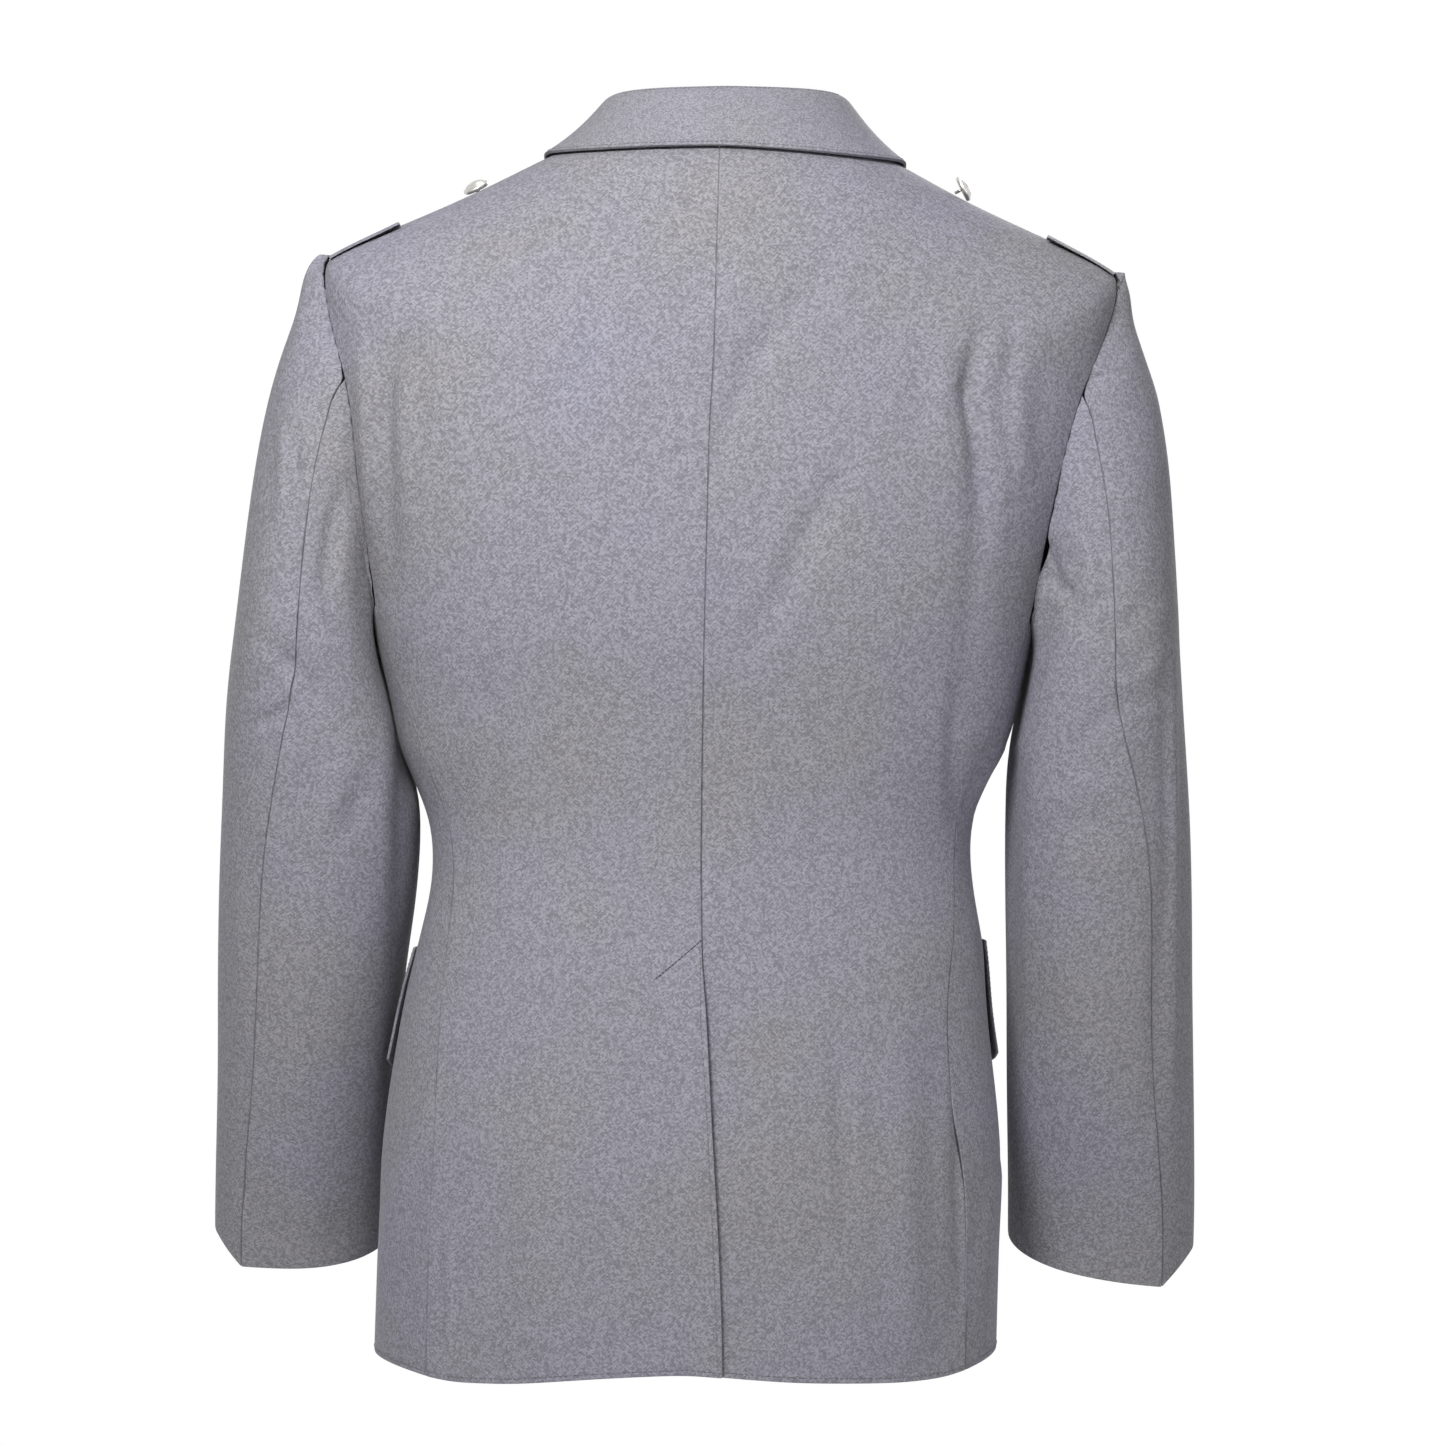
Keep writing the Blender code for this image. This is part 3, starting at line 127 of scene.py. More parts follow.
SLEEVE_CREASES = {
    "left": (
        ((284, 415, 0.0, 5), (286, 455, 1.6, 6), (284, 520, 0.2, 6)),
        ((300, 430, 0.0, 6), (300, 470, -1.4, 6), (296, 520, -0.2, 6)),
        ((350, 470, 0.0, 9), (338, 520, -2.0, 9), (330, 580, -2.6, 9), (345, 640, -0.6, 10)),
        ((256, 634, 0.0, 9), (280, 650, -0.9, 8), (298, 668, -1.7, 7.5), (318, 690, -1.3, 8),
         (340, 716, -0.1, 10)),
        ((258, 690, 0.0, 9), (284, 698, 0.8, 9), (302, 686, 0.9, 9), (318, 660, 0.5, 10),
         (334, 630, 0.0, 10)),
        ((246, 728, -0.3, 7), (262, 722, -0.9, 6.5), (285, 713, -0.9, 6.5), (300, 704, -0.1, 7)),
        ((350, 740, 0.0, 12), (340, 800, 1.4, 12), (325, 850, 0.2, 12)),
        ((330, 850, -0.2, 12), (352, 810, -1.2, 10), (372, 780, -0.2, 12)),
        ((240, 850, 0.2, 9), (238, 960, 0.8, 9), (240, 1060, 0.2, 9)),
        ((230, 1160, 0.0, 10), (236, 1200, -1.0, 8), (240, 1240, -0.2, 8)),
        ((300, 1170, 0.4, 14), (306, 1230, 0.8, 14)),
        ((396, 620, -0.4, 6), (404, 720, -2.0, 8), (400, 860, -1.4, 9), (392, 980, -0.4, 9)),
    ),
    "right": (
        ((1082, 385, -1.4, 5), (1098, 380, -1.2, 5), (1112, 376, -0.2, 5)),
        ((1044, 545, -2.0, 7), (1052, 580, -3.2, 7), (1066, 596, -2.4, 6), (1074, 602, -0.4, 6)),
        ((1070, 520, 0.0, 9), (1084, 560, 1.4, 9), (1090, 610, 0.6, 9)),
        ((1112, 640, -0.2, 9), (1130, 616, -0.9, 8), (1150, 596, -0.7, 8), (1166, 582, -0.1, 9)),
        ((1124, 690, 0.2, 9), (1146, 672, 1.0, 9), (1160, 650, 0.2, 9)),
        ((1068, 756, -0.3, 10), (1094, 724, -1.2, 9), (1120, 704, -0.9, 9), (1154, 690, -0.1, 10)),
        ((1040, 700, 0.2, 10), (1058, 660, 1.0, 10), (1080, 630, 0.2, 10)),
        ((1040, 800, 0.2, 10), (1080, 786, 1.0, 10), (1120, 790, 0.2, 10)),
        ((1050, 830, 0.0, 9), (1090, 822, -1.4, 9), (1130, 834, -0.2, 9)),
        ((1050, 880, 0.0, 11), (1090, 866, 0.8, 11), (1130, 876, 0.0, 11)),
        ((1172, 640, 0.3, 5), (1172, 740, 1.4, 5), (1176, 860, 1.2, 5), (1178, 1000, 0.8, 6),
         (1178, 1120, 0.2, 7)),
        ((1156, 900, -0.2, 9), (1158, 1000, -1.0, 9), (1160, 1120, -0.4, 9)),
        ((1090, 960, 0.0, 20), (1092, 1060, 1.0, 22), (1096, 1180, 0.0, 22)),
        ((1018, 760, -1.0, 8), (1014, 880, -1.6, 8), (1016, 1020, -0.8, 8), (1020, 1150, -0.4, 8)),
    ),
}
# Soft creases that the photo doesn't show: the fronts, their skirts and the insides of the elbows.
# Columns: x from the middle, z, height and half-width, all in mm.
FRONT_CREASES = (
    ((150, -250, -0.4, 12), (120, -330, -1.2, 11), (80, -400, -0.6, 12)),
    ((170, -300, 0.4, 14), (140, -380, 1.2, 13), (100, -430, 0.4, 14)),
    ((90, -420, -0.2, 12), (50, -400, -1.4, 9), (14, -385, -0.8, 8)),
    ((120, -560, 0.2, 18), (118, -640, 1.4, 18), (120, -720, 1.0, 18)),
    ((60, -580, -0.2, 16), (58, -660, -1.0, 16), (60, -722, -0.6, 16)),
    ((196, -130, -0.3, 9), (178, -190, -1.4, 9), (170, -250, -0.6, 10)),
)


def linear(code):
    """Linear RGB of an sRGB hex colour."""
    values = [int(code[i : i + 2], 16) / 255 for i in (0, 2, 4)]
    return tuple(v / 12.92 if v <= 0.04045 else ((v + 0.055) / 1.055) ** 2.4 for v in values)


def rgba(code):
    return (*linear(code), 1.0)


def node(tree, kind, settings=None, values=None, links=None, stops=()):
    """One shader node with its settings, its unlinked values, what feeds its inputs, and a ramp's stops."""
    made = tree.nodes.new(kind)
    for name, value in (settings or {}).items():
        setattr(made, name, value)
    for name, value in (values or {}).items():
        made.inputs[name].default_value = value
    for name, source in (links or {}).items():
        tree.links.new(source, made.inputs[name])
    for number, (place, code) in enumerate(stops):
        elements = made.color_ramp.elements
        stop = elements[number] if number < 2 else elements.new(place)
        stop.position, stop.color = place, rgba(code)
    return made


def new_material(name):
    """Material, its node tree and its shader."""
    material = bpy.data.materials.new(name)
    material.use_nodes = True
    tree = material.node_tree
    return material, tree, tree.nodes["Principled BSDF"]


# The cloth's ribs, their distance and slant, and the width of its flecks. Real ones are too fine to show, so
# both are drawn as coarse as they need to show.
TWILL_PITCH = 1.6 * MM
TWILL_TURN = math.radians(42)
FLECK_SIZE = 1.1 * MM
# Blender's wave texture has pi / 10 of its scale to a band.
WAVE_UNIT = math.pi / 10


def worsted_twill():
    """Salt-and-pepper worsted: matt, with fine diagonal ribs, flecks of pale and dark yarn and soft fuzz."""
    material, tree, shader = new_material("worsted wool twill")
    place = node(tree, "ShaderNodeUVMap", {"uv_map": "grain"}).outputs["UV"]
    turned = node(tree, "ShaderNodeMapping", values={"Rotation": (0, 0, TWILL_TURN)}, links={"Vector": place})
    ribs = node(
        tree, "ShaderNodeTexWave", {"wave_type": "BANDS", "bands_direction": "X", "wave_profile": "SIN"},
        {"Scale": WAVE_UNIT / TWILL_PITCH, "Distortion": 0.7, "Detail": 1.0, "Detail Scale": 1.5},
        {"Vector": turned.outputs["Vector"]}
    )
    cells = node(
        tree, "ShaderNodeTexVoronoi", {"voronoi_dimensions": "2D"}, {"Scale": 1 / FLECK_SIZE},
        {"Vector": place}
    )
    flecks = node(tree, "ShaderNodeSeparateColor", links={"Color": cells.outputs["Color"]})
    broad = node(
        tree, "ShaderNodeTexNoise", {"noise_dimensions": "3D"}, {"Scale": 9.0, "Detail": 2.0},
        {"Vector": node(tree, "ShaderNodeTexCoord").outputs["Object"]}
    )
    mixed = node(
        tree, "ShaderNodeMix", {"data_type": "FLOAT"}, {"Factor": 0.16},
        {"A": flecks.outputs["Red"], "B": ribs.outputs["Fac"]}
    )
    colour = node(
        tree, "ShaderNodeValToRGB", links={"Fac": mixed.outputs["Result"]},
        stops=((0.0, "76767B"), (1.0, "A6A5AD"), (0.5, "8E8D94"))
    )
    tint = node(
        tree, "ShaderNodeValToRGB", links={"Fac": broad.outputs["Fac"]},
        stops=((0.3, "F1F0EC"), (0.7, "F4F3FC"))
    )
    tinted = node(
        tree, "ShaderNodeMix", {"data_type": "RGBA", "blend_type": "MULTIPLY"}, {"Factor": 1.0},
        {"A": colour.outputs["Color"], "B": tint.outputs["Color"]}
    )
    # Painted shade: the seams' vertex value mixes the cloth's colour towards a dark grey, for the shadow in
    # each groove.
    painted_seam_shade = node(tree, "ShaderNodeAttribute", {"attribute_name": "seam"})
    painted_shade_mix = node(
        tree, "ShaderNodeMix", {"data_type": "RGBA"}, {"B": rgba("3C3C42")},
        {"Factor": painted_seam_shade.outputs["Fac"], "A": tinted.outputs["Result"]}
    )
    tree.links.new(painted_shade_mix.outputs["Result"], shader.inputs["Base Color"])
    raised = node(
        tree, "ShaderNodeBump", values={"Strength": 0.05, "Distance": 0.05 * MM},
        links={"Height": ribs.outputs["Fac"]}
    )
    tree.links.new(raised.outputs["Normal"], shader.inputs["Normal"])
    shader.inputs["Roughness"].default_value = 0.88
    shader.inputs["Specular IOR Level"].default_value = 0.22
    shader.inputs["Sheen Weight"].default_value = 0.08
    shader.inputs["Sheen Roughness"].default_value = 0.45
    return material


# Widths of the felt's fibres, the silver's clouds and grit, and the thread's twist.
FIBRE_SIZE = 0.7 * MM
CLOUD_SIZE = 4 * MM
GRIT_SIZE = 0.35 * MM
TWIST_SIZE = 0.5 * MM


def felt():
    """Pressed wool felt: near black and fuzzy, with paler fibre ends."""
    material, tree, shader = new_material("charcoal felt")
    place = node(tree, "ShaderNodeTexCoord").outputs["Object"]
    fibres = node(
        tree, "ShaderNodeTexNoise", values={"Scale": 1 / FIBRE_SIZE, "Detail": 4.0, "Roughness": 0.8},
        links={"Vector": place}
    )
    colour = node(
        tree, "ShaderNodeValToRGB", links={"Fac": fibres.outputs["Fac"]},
        stops=((0.3, "242427"), (0.8, "6B6C72"))
    )
    tree.links.new(colour.outputs["Color"], shader.inputs["Base Color"])
    raised = node(
        tree, "ShaderNodeBump", values={"Strength": 0.8, "Distance": 0.4 * MM},
        links={"Height": fibres.outputs["Fac"]}
    )
    tree.links.new(raised.outputs["Normal"], shader.inputs["Normal"])
    shader.inputs["Roughness"].default_value = 0.95
    shader.inputs["Sheen Weight"].default_value = 0.4
    return material


def silvered_brass():
    """Stamped brass with a thin silver plate: bright, a little cloudy, and dull in its finest scratches."""
    material, tree, shader = new_material("silvered brass")
    place = node(tree, "ShaderNodeTexCoord").outputs["Object"]
    cloud = node(
        tree, "ShaderNodeTexNoise", values={"Scale": 1 / CLOUD_SIZE, "Detail": 4.0}, links={"Vector": place}
    )
    grit = node(
        tree, "ShaderNodeTexNoise", values={"Scale": 1 / GRIT_SIZE, "Detail": 2.0}, links={"Vector": place}
    )
    colour = node(
        tree, "ShaderNodeValToRGB", links={"Fac": cloud.outputs["Fac"]},
        stops=((0.3, "B4B2AD"), (0.7, "D6D5D2"))
    )
    dull = node(
        tree, "ShaderNodeMapRange", values={"To Min": 0.22, "To Max": 0.42},
        links={"Value": cloud.outputs["Fac"]}
    )
    raised = node(
        tree, "ShaderNodeBump", values={"Strength": 0.12, "Distance": 0.05 * MM},
        links={"Height": grit.outputs["Fac"]}
    )
    tree.links.new(colour.outputs["Color"], shader.inputs["Base Color"])
    tree.links.new(dull.outputs["Result"], shader.inputs["Roughness"])
    tree.links.new(raised.outputs["Normal"], shader.inputs["Normal"])
    shader.inputs["Metallic"].default_value = 1.0
    return material


def sewing_thread(name="grey sewing thread", pale="84838C", dark="55545B"):
    """Spun polyester thread with a light twist across each stitch."""
    material, tree, shader = new_material(name)
    place = node(tree, "ShaderNodeTexCoord").outputs["Object"]
    twist = node(
        tree, "ShaderNodeTexNoise", values={"Scale": 1 / TWIST_SIZE, "Detail": 1.0}, links={"Vector": place}
    )
    colour = node(
        tree, "ShaderNodeValToRGB", links={"Fac": twist.outputs["Fac"]}, stops=((0.3, dark), (0.7, pale))
    )
    tree.links.new(colour.outputs["Color"], shader.inputs["Base Color"])
    shader.inputs["Roughness"].default_value = 0.7
    return material


CLOTH = worsted_twill()
FELT = felt()
SILVER = silvered_brass()
THREAD = sewing_thread()
DARK_THREAD = sewing_thread("charcoal sewing thread", "55555C", "333338")


def smooth(share):
    """Share from 0 to 1, eased at both its ends."""
    return share * share * (3 - 2 * share)


def select_only(piece):
    bpy.ops.object.select_all(action="DESELECT")
    piece.select_set(True)
    bpy.context.view_layer.objects.active = piece


def points_of(piece):
    """Places of a piece's vertices, one row each."""
    count = len(piece.data.vertices)
    points = np.empty(count * 3)
    piece.data.vertices.foreach_get("co", points)
    return points.reshape(-1, 3)


def set_points(piece, points):
    piece.data.vertices.foreach_set("co", points.ravel())
    piece.data.update()


def at_pixel(x, y, depth):
    """Place in X and Z, in metres, of a pixel of the photo, for a point at this depth Y."""
    half = PHOTO_PIXELS / 2
    right = x - half + CAMERA_LEAN * (y - half)
    down = y - half - CAMERA_LEAN * (x - half)
    scale = METRES_PER_PIXEL * (CAMERA_DISTANCE - depth) / CAMERA_DISTANCE
    return AIM_X - right * scale, AIM_Z - down * scale


# The photo's creases are drawn this much deeper than read, because the light here is softer, and this much
# narrower, because each has a swell on both its sides. The swell's distance and half-width are shares of the
# crease's half-width, and its height is a share of the crease's.
CREASE_GAIN = 1.7
CREASE_NARROW = 0.62
SWELL_AWAY = 1.9
SWELL_WIDTH = 1.1
SWELL_HEIGHT = 0.35
# A crease fades out over this much of a turn, as the cloth turns from the side that the crease is on.
FACING_FADE = 0.35
# Depth Y at which the photo's creases of each part lie.
BACK_DEPTH = 0.105
SIDE_DEPTH = 0.05
SLEEVE_DEPTH = 0.04


def crease_heights(places, crease):
    """Height in metres of one crease at places (x, z), with a softer swell on both its sides."""
    best = np.full(len(places), np.inf)
    height = np.zeros(len(places))
    width = np.ones(len(places))
    for (x0, z0, h0, w0), (x1, z1, h1, w1) in zip(crease[:-1], crease[1:]):
        start = np.array((x0, z0))
        along = np.array((x1, z1)) - start
        share = np.clip((places - start) @ along / (along @ along), 0, 1)
        away = np.linalg.norm(places - start - share[:, None] * along, axis=1)
        nearer = away < best
        best = np.where(nearer, away, best)
        height = np.where(nearer, h0 + (h1 - h0) * share, height)
        width = np.where(nearer, w0 + (w1 - w0) * share, width)
    width = width * CREASE_NARROW
    middle = np.exp(-((best / width) ** 2))
    beside = np.exp(-(((best - SWELL_AWAY * width) / (SWELL_WIDTH * width)) ** 2))
    return CREASE_GAIN * height * (middle - SWELL_HEIGHT * beside)


def creased(piece, creases, outward, facing, depth=None, mirror=1):
    """Press creases into both faces of a cloth.

    outward gives each point's direction out of the garment. facing is 1 for creases on the back, -1 for
    those on the front and 0 for both, and depth is that of creases given in the photo's pixels.
    """
    points = points_of(piece)
    directions = outward(points)
    shown = smooth(np.clip(directions[:, 1] * facing / FACING_FADE, 0, 1)) if facing else np.ones(len(points))
    places = points[:, [0, 2]] * np.array((mirror, 1))
    total = np.zeros(len(points))
    for crease in creases:
        line = []
        for across, down, height, width in crease:
            if depth is None:
                line.append((across * MM, down * MM, height * MM, width * MM))
            else:
                line.append((*at_pixel(across, down, depth), height * MM, width * MM))
        total += crease_heights(places, line)
    set_points(piece, points + directions * (total * shown)[:, None])


# Half-axes of the body and of the sleeves, seen from above, in X and Y.
BODY_AXES = (0.19, 0.115)
SLEEVE_AXES = (0.055, 0.06)
# The shoulders face upwards from this height, more and more over this rise, up to this slope.
SHOULDER_FOOT = -0.2
SHOULDER_RISE = 0.15
SHOULDER_SLOPE = 0.6


def out_of_body(points):
    """Direction out of the jacket's body, as out of an ellipse, and upwards near the shoulders."""
    flat = points * np.array((1 / BODY_AXES[0] ** 2, 1 / BODY_AXES[1] ** 2, 0))
    flat /= np.linalg.norm(flat, axis=1, keepdims=True) + TINY
    flat[:, 2] = np.clip((points[:, 2] - SHOULDER_FOOT) / SHOULDER_RISE, 0, 1) * SHOULDER_SLOPE
    return flat / np.linalg.norm(flat, axis=1, keepdims=True)


# Middle line of the sleeves. Columns: z, left x, right x, y.
SLEEVE_LINE = np.array((
    (-0.70, 0.242, -0.252, -0.084),
    (-0.60, 0.239, -0.249, -0.056),
    (-0.50, 0.234, -0.243, -0.031),
    (-0.40, 0.229, -0.238, -0.012),
    (-0.30, 0.240, -0.240, -0.006),
    (-0.20, 0.236, -0.236, 0.000),
    (-0.05, 0.215, -0.215, 0.000),
))


def out_of_sleeve(side):
    """Function that gives the direction out of one sleeve, as out of an ellipse round its middle line."""

    def outward(points):
        z = points[:, 2]
        across = np.interp(z, SLEEVE_LINE[:, 0], SLEEVE_LINE[:, 1 if side > 0 else 2])
        along = np.interp(z, SLEEVE_LINE[:, 0], SLEEVE_LINE[:, 3])
        right = (points[:, 0] - across) / SLEEVE_AXES[0] ** 2
        back = (points[:, 1] - along) / SLEEVE_AXES[1] ** 2
        flat = np.stack([right, back, 0 * z], axis=1)
        return flat / (np.linalg.norm(flat, axis=1, keepdims=True) + TINY)

    return outward


def seam_keys(mesh):
    """Ends of each edge that is marked as cut."""
    return {tuple(sorted(edge.vertices)) for edge in mesh.edges if edge.use_seam}


# A chart whose fit rises less than this lies level and is not turned upright, and one with less than this
# area shows nothing.
LEVEL = 1e-6
LEAST_AREA = 1e-12


def lay_grain(piece):
    """UV map in metres with the cloth's grain along V, upright as the panel hangs."""
    bpy.ops.object.mode_set(mode="EDIT")
    bpy.ops.mesh.select_all(action="SELECT")
    bpy.ops.uv.unwrap(method="CONFORMAL", margin=0.02)
    bpy.ops.object.mode_set(mode="OBJECT")
    mesh = piece.data
    layer = mesh.uv_layers.active
    layer.name = "grain"
    loops = len(mesh.loops)
    flat = np.empty(loops * 2)
    layer.data.foreach_get("uv", flat)
    flat = flat.reshape(-1, 2)
    owners = np.empty(loops, int)
    mesh.loops.foreach_get("vertex_index", owners)
    points = points_of(piece)
    islands = face_islands(mesh)
    starts = np.empty(len(mesh.polygons), int)
    counts = np.empty(len(mesh.polygons), int)
    mesh.polygons.foreach_get("loop_start", starts)
    mesh.polygons.foreach_get("loop_total", counts)
    for number in np.unique(islands):
        faces = np.nonzero(islands == number)[0]
        corners = np.concatenate([np.arange(starts[f], starts[f] + counts[f]) for f in faces])
        chart = flat[corners]
        solid = points[owners[corners]]
        fit = np.linalg.lstsq(chart - chart.mean(0), solid - solid.mean(0), rcond=None)[0]
        scale = real_scale(mesh, faces, starts, counts, flat)
        up = fit @ np.array((0.0, 0.0, 1.0))
        angle = math.atan2(up[0], up[1]) if np.linalg.norm(up) > LEVEL else 0.0
        c, s = math.cos(angle), math.sin(angle)
        flat[corners] = (chart - chart.mean(0)) @ np.array(((c, s), (-s, c))) * scale
    layer.data.foreach_set("uv", flat.ravel())


def real_scale(mesh, faces, starts, counts, flat):
    """Metres of cloth for one unit of the chart."""
    solid = 0.0
    drawn = 0.0
    for f in faces:
        solid += mesh.polygons[f].area
        chart = flat[starts[f] : starts[f] + counts[f]]
        x, y = chart[:, 0], chart[:, 1]
        drawn += 0.5 * abs(np.dot(x, np.roll(y, -1)) - np.dot(y, np.roll(x, -1)))
    return math.sqrt(solid / drawn) if drawn > LEAST_AREA else 0.0


def face_islands(mesh):
    """Number of the chart that each face lies in: faces that share an edge not marked as a seam."""
    parent = list(range(len(mesh.polygons)))

    def root(i):
        while parent[i] != i:
            parent[i] = parent[parent[i]]
            i = parent[i]
        return i

    seams = seam_keys(mesh)
    seen = {}
    for face in mesh.polygons:
        for key in face.edge_keys:
            key = tuple(sorted(key))
            if key in seams:
                continue
            if key in seen:
                parent[root(face.index)] = root(seen[key])
            else:
                seen[key] = face.index
    return np.array([root(i) for i in range(len(mesh.polygons))])


# Cut edges of each panel, by node name.
RIMS = {}


def find_rims(piece):
    """Push the cut edges out a little, and list them as rims.

    Each rim is its two ends, the way into the panel, the panel's normal and its middle.
    """
    mesh = piece.data
    seams = seam_keys(mesh)
    faces = {}
    for face in mesh.polygons:
        for key in face.edge_keys:
            faces.setdefault(tuple(sorted(key)), []).append(face.index)
    points = points_of(piece)
    pushes = {}
    rims = []
    for key in seams:
        pair = faces.get(key, [])
        if len(pair) != 2:
            continue
        first, second = (mesh.polygons[i] for i in pair)
        marked = [sum(tuple(sorted(k)) in seams for k in f.edge_keys) for f in (first, second)]
        first_is_thin = marked[0] > marked[1] or first.area < second.area * THIN_SHARE
        thin, broad = (first, second) if first_is_thin else (second, first)
        push = np.array(thin.normal)
        for corner in key:
            pushes.setdefault(corner, []).append(push)
        middle = (points[key[0]] + points[key[1]]) / 2
        rims.append((points[key[0]].copy(), points[key[1]].copy(), -push, np.array(broad.normal), middle))
    for corner, all_pushes in pushes.items():
        push = np.mean(all_pushes, axis=0)
        points[corner] += push / (np.linalg.norm(push) + TINY) * SEAM_TAKE_UP
    set_points(piece, points)
    return rims


def cloth_copy(name, levels, edge_angle, rounding):
    """Smooth copy of a cloth panel, with its triangles joined and its cut edges rounded, and its rims."""
    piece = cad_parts[name].copy()
    piece.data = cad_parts[name].data.copy()
    piece.name = name + ".cloth"
    for key in list(piece.keys()):
        del piece[key]
    piece.parent = None
    bpy.context.scene.collection.objects.link(piece)
    piece.hide_render = False
    select_only(piece)
    while piece.data.uv_layers:
        piece.data.uv_layers.remove(piece.data.uv_layers[0])
    piece.data.uv_layers.new(name="grain")
    bpy.ops.object.mode_set(mode="EDIT")
    bpy.ops.mesh.select_mode(type="EDGE")
    bpy.ops.mesh.select_all(action="SELECT")
    bpy.ops.mesh.remove_doubles(threshold=MERGE_DISTANCE)
    bpy.ops.mesh.tris_convert_to_quads(
        face_threshold=math.radians(QUAD_TURN), shape_threshold=math.radians(QUAD_SHAPE)
    )
    bpy.ops.mesh.customdata_custom_splitnormals_clear()
    bpy.ops.mesh.select_all(action="DESELECT")
    bpy.ops.mesh.edges_select_sharp(sharpness=math.radians(edge_angle))
    bpy.ops.mesh.mark_seam()
    bpy.ops.object.mode_set(mode="OBJECT")
    lay_grain(piece)
    rims = find_rims(piece)
    bpy.ops.object.mode_set(mode="EDIT")
    bpy.ops.mesh.select_all(action="DESELECT")
    bpy.ops.mesh.edges_select_sharp(sharpness=math.radians(edge_angle))
    bpy.ops.mesh.bevel(offset=rounding, segments=2, profile=0.6, affect="EDGES", clamp_overlap=True)
    bpy.ops.object.mode_set(mode="OBJECT")
    finer = piece.modifiers.new("smooth", "SUBSURF")
    finer.levels = finer.render_levels = levels
    bpy.ops.object.modifier_apply(modifier=finer.name)
    bpy.ops.object.shade_smooth()
    piece.data.materials.clear()
    piece.data.materials.append(CLOTH)
    return piece, rims


def make_cloth():
    """Every panel of cloth, by node name."""
    made = {}
    for name, width, length, area, held, support, levels, angle in CLOTH_CUTS:
        small = name.startswith(SMALL_PIECES)
        piece, RIMS[name] = cloth_copy(name, levels, angle, EDGE_ROUNDING * (SMALL_ROUNDING if small else 1))
        made[name] = piece
        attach(piece, "root")
        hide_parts(name)
        if name.startswith("tab_underlay"):
            piece.data.materials[0] = FELT
    return made


# A tab's height over the shoulder, as a share of its solid's, at its free end and at the sleeve seam, how far
# it is drawn towards that seam and in which direction, and how far its long edges lift, at half its width.
TAB_HEIGHTS = (0.62, 0.22)
TAB_REACH = 4.4 * MM
TAB_WAY = (0.90, 0, -0.42)
TAB_EDGE_LIFT = 1.1 * MM
TAB_HALF_WIDTH = 22 * MM
# Armhole seams: rims that are nearer than this to the body, and higher than this, are drawn to it. They stop
# this much short of it, and take the cloth beside them along.
ARMHOLE_REACH = 2.5 * MM
ARMHOLE_FOOT = -0.33
ARMHOLE_STOP = 0.12 * MM
TOUCHING = 0.001 * MM
ARMHOLE_SPREAD = 7.0 * MM
# How many rims move a point, and what keeps the share of a very near one finite.
RIM_NEIGHBOURS = 3
RIM_BLEND = 0.3 * MM
# Fullness of the sleeve heads. Columns: photo x, photo y, height in mm, half-width in mm. It goes outwards
# and up, and fades out over this depth.
HEAD_FULLNESS = {"left": (309, 270, 4.6, 15), "right": (1126, 292, 1.8, 12)}
HEAD_WAY = (0.85, 0, 0.5)
HEAD_DEPTH = 0.05
# The top of each head is eased into a round: its place, how far round it, how often and how much each time.
# The share of the easing grows from nothing at the first distance from a cut edge over the second, and
# points with less than the last share stay.
HEAD_TOP = (240 * MM, 0, -84 * MM)
HEAD_EASE = 17 * MM
HEAD_ROUNDS = 30
HEAD_STEP = 0.6
HEAD_PINNED = 1.0 * MM
HEAD_LOOSE = 3 * MM
HEAD_LEAST = 0.02


def rim_places(rims):
    """Points along a panel's cut edges."""
    places = []
    for first, second, _, _, _ in rims:
        steps = max(int(np.linalg.norm(second - first) / RIM_STEP), 1)
        places += [first + (second - first) * k / steps for k in range(steps)]
    return places


def point_tree(places):
    """Tree that finds the nearest of these places."""
    tree = KDTree(len(places))
    for number, place in enumerate(places):
        tree.insert(place, number)
    tree.balance()
    return tree


def body_surface(cloths, label):
    """One surface of the body's cloths on one side."""
    points, faces = [], []
    for kind in ("back_", "side_", "front_"):
        piece = cloths[kind + label]
        faces += [[len(points) + i for i in face.vertices] for face in piece.data.polygons]
        points += points_of(piece).tolist()
    return BVHTree.FromPolygons(points, faces)


def ease_heads(cloths):
    """Round the top of each sleeve's head, while its cut edges stay where they are."""
    for label, side in SIDES:
        piece = cloths["top_sleeve_" + label]
        points = points_of(piece)
        top = np.array(HEAD_TOP) * np.array((side, 1, 1))
        weight = np.exp(-((np.linalg.norm(points - top, axis=1) / HEAD_EASE) ** 2))
        rims = []
        for first, second, _, _, _ in RIMS["top_sleeve_" + label]:
            for share in (0, 0.25, 0.5, 0.75):
                place = first + (second - first) * share
                if np.linalg.norm(place - top) < 3 * HEAD_EASE:
                    rims.append(place)
        rims = np.array(rims)
        for number in np.nonzero(weight > HEAD_LEAST)[0]:
            away = np.linalg.norm(rims - points[number], axis=1).min()
            weight[number] *= np.clip((away - HEAD_PINNED) / HEAD_LOOSE, 0, 1)
        edges = np.array([edge.vertices[:] for edge in piece.data.edges])
        count = np.bincount(edges.ravel(), minlength=len(points))[:, None]
        for _ in range(HEAD_ROUNDS):
            total = np.zeros_like(points)
            np.add.at(total, edges[:, 0], points[edges[:, 1]])
            np.add.at(total, edges[:, 1], points[edges[:, 0]])
            points += (total / count - points) * weight[:, None] * HEAD_STEP
        set_points(piece, points)


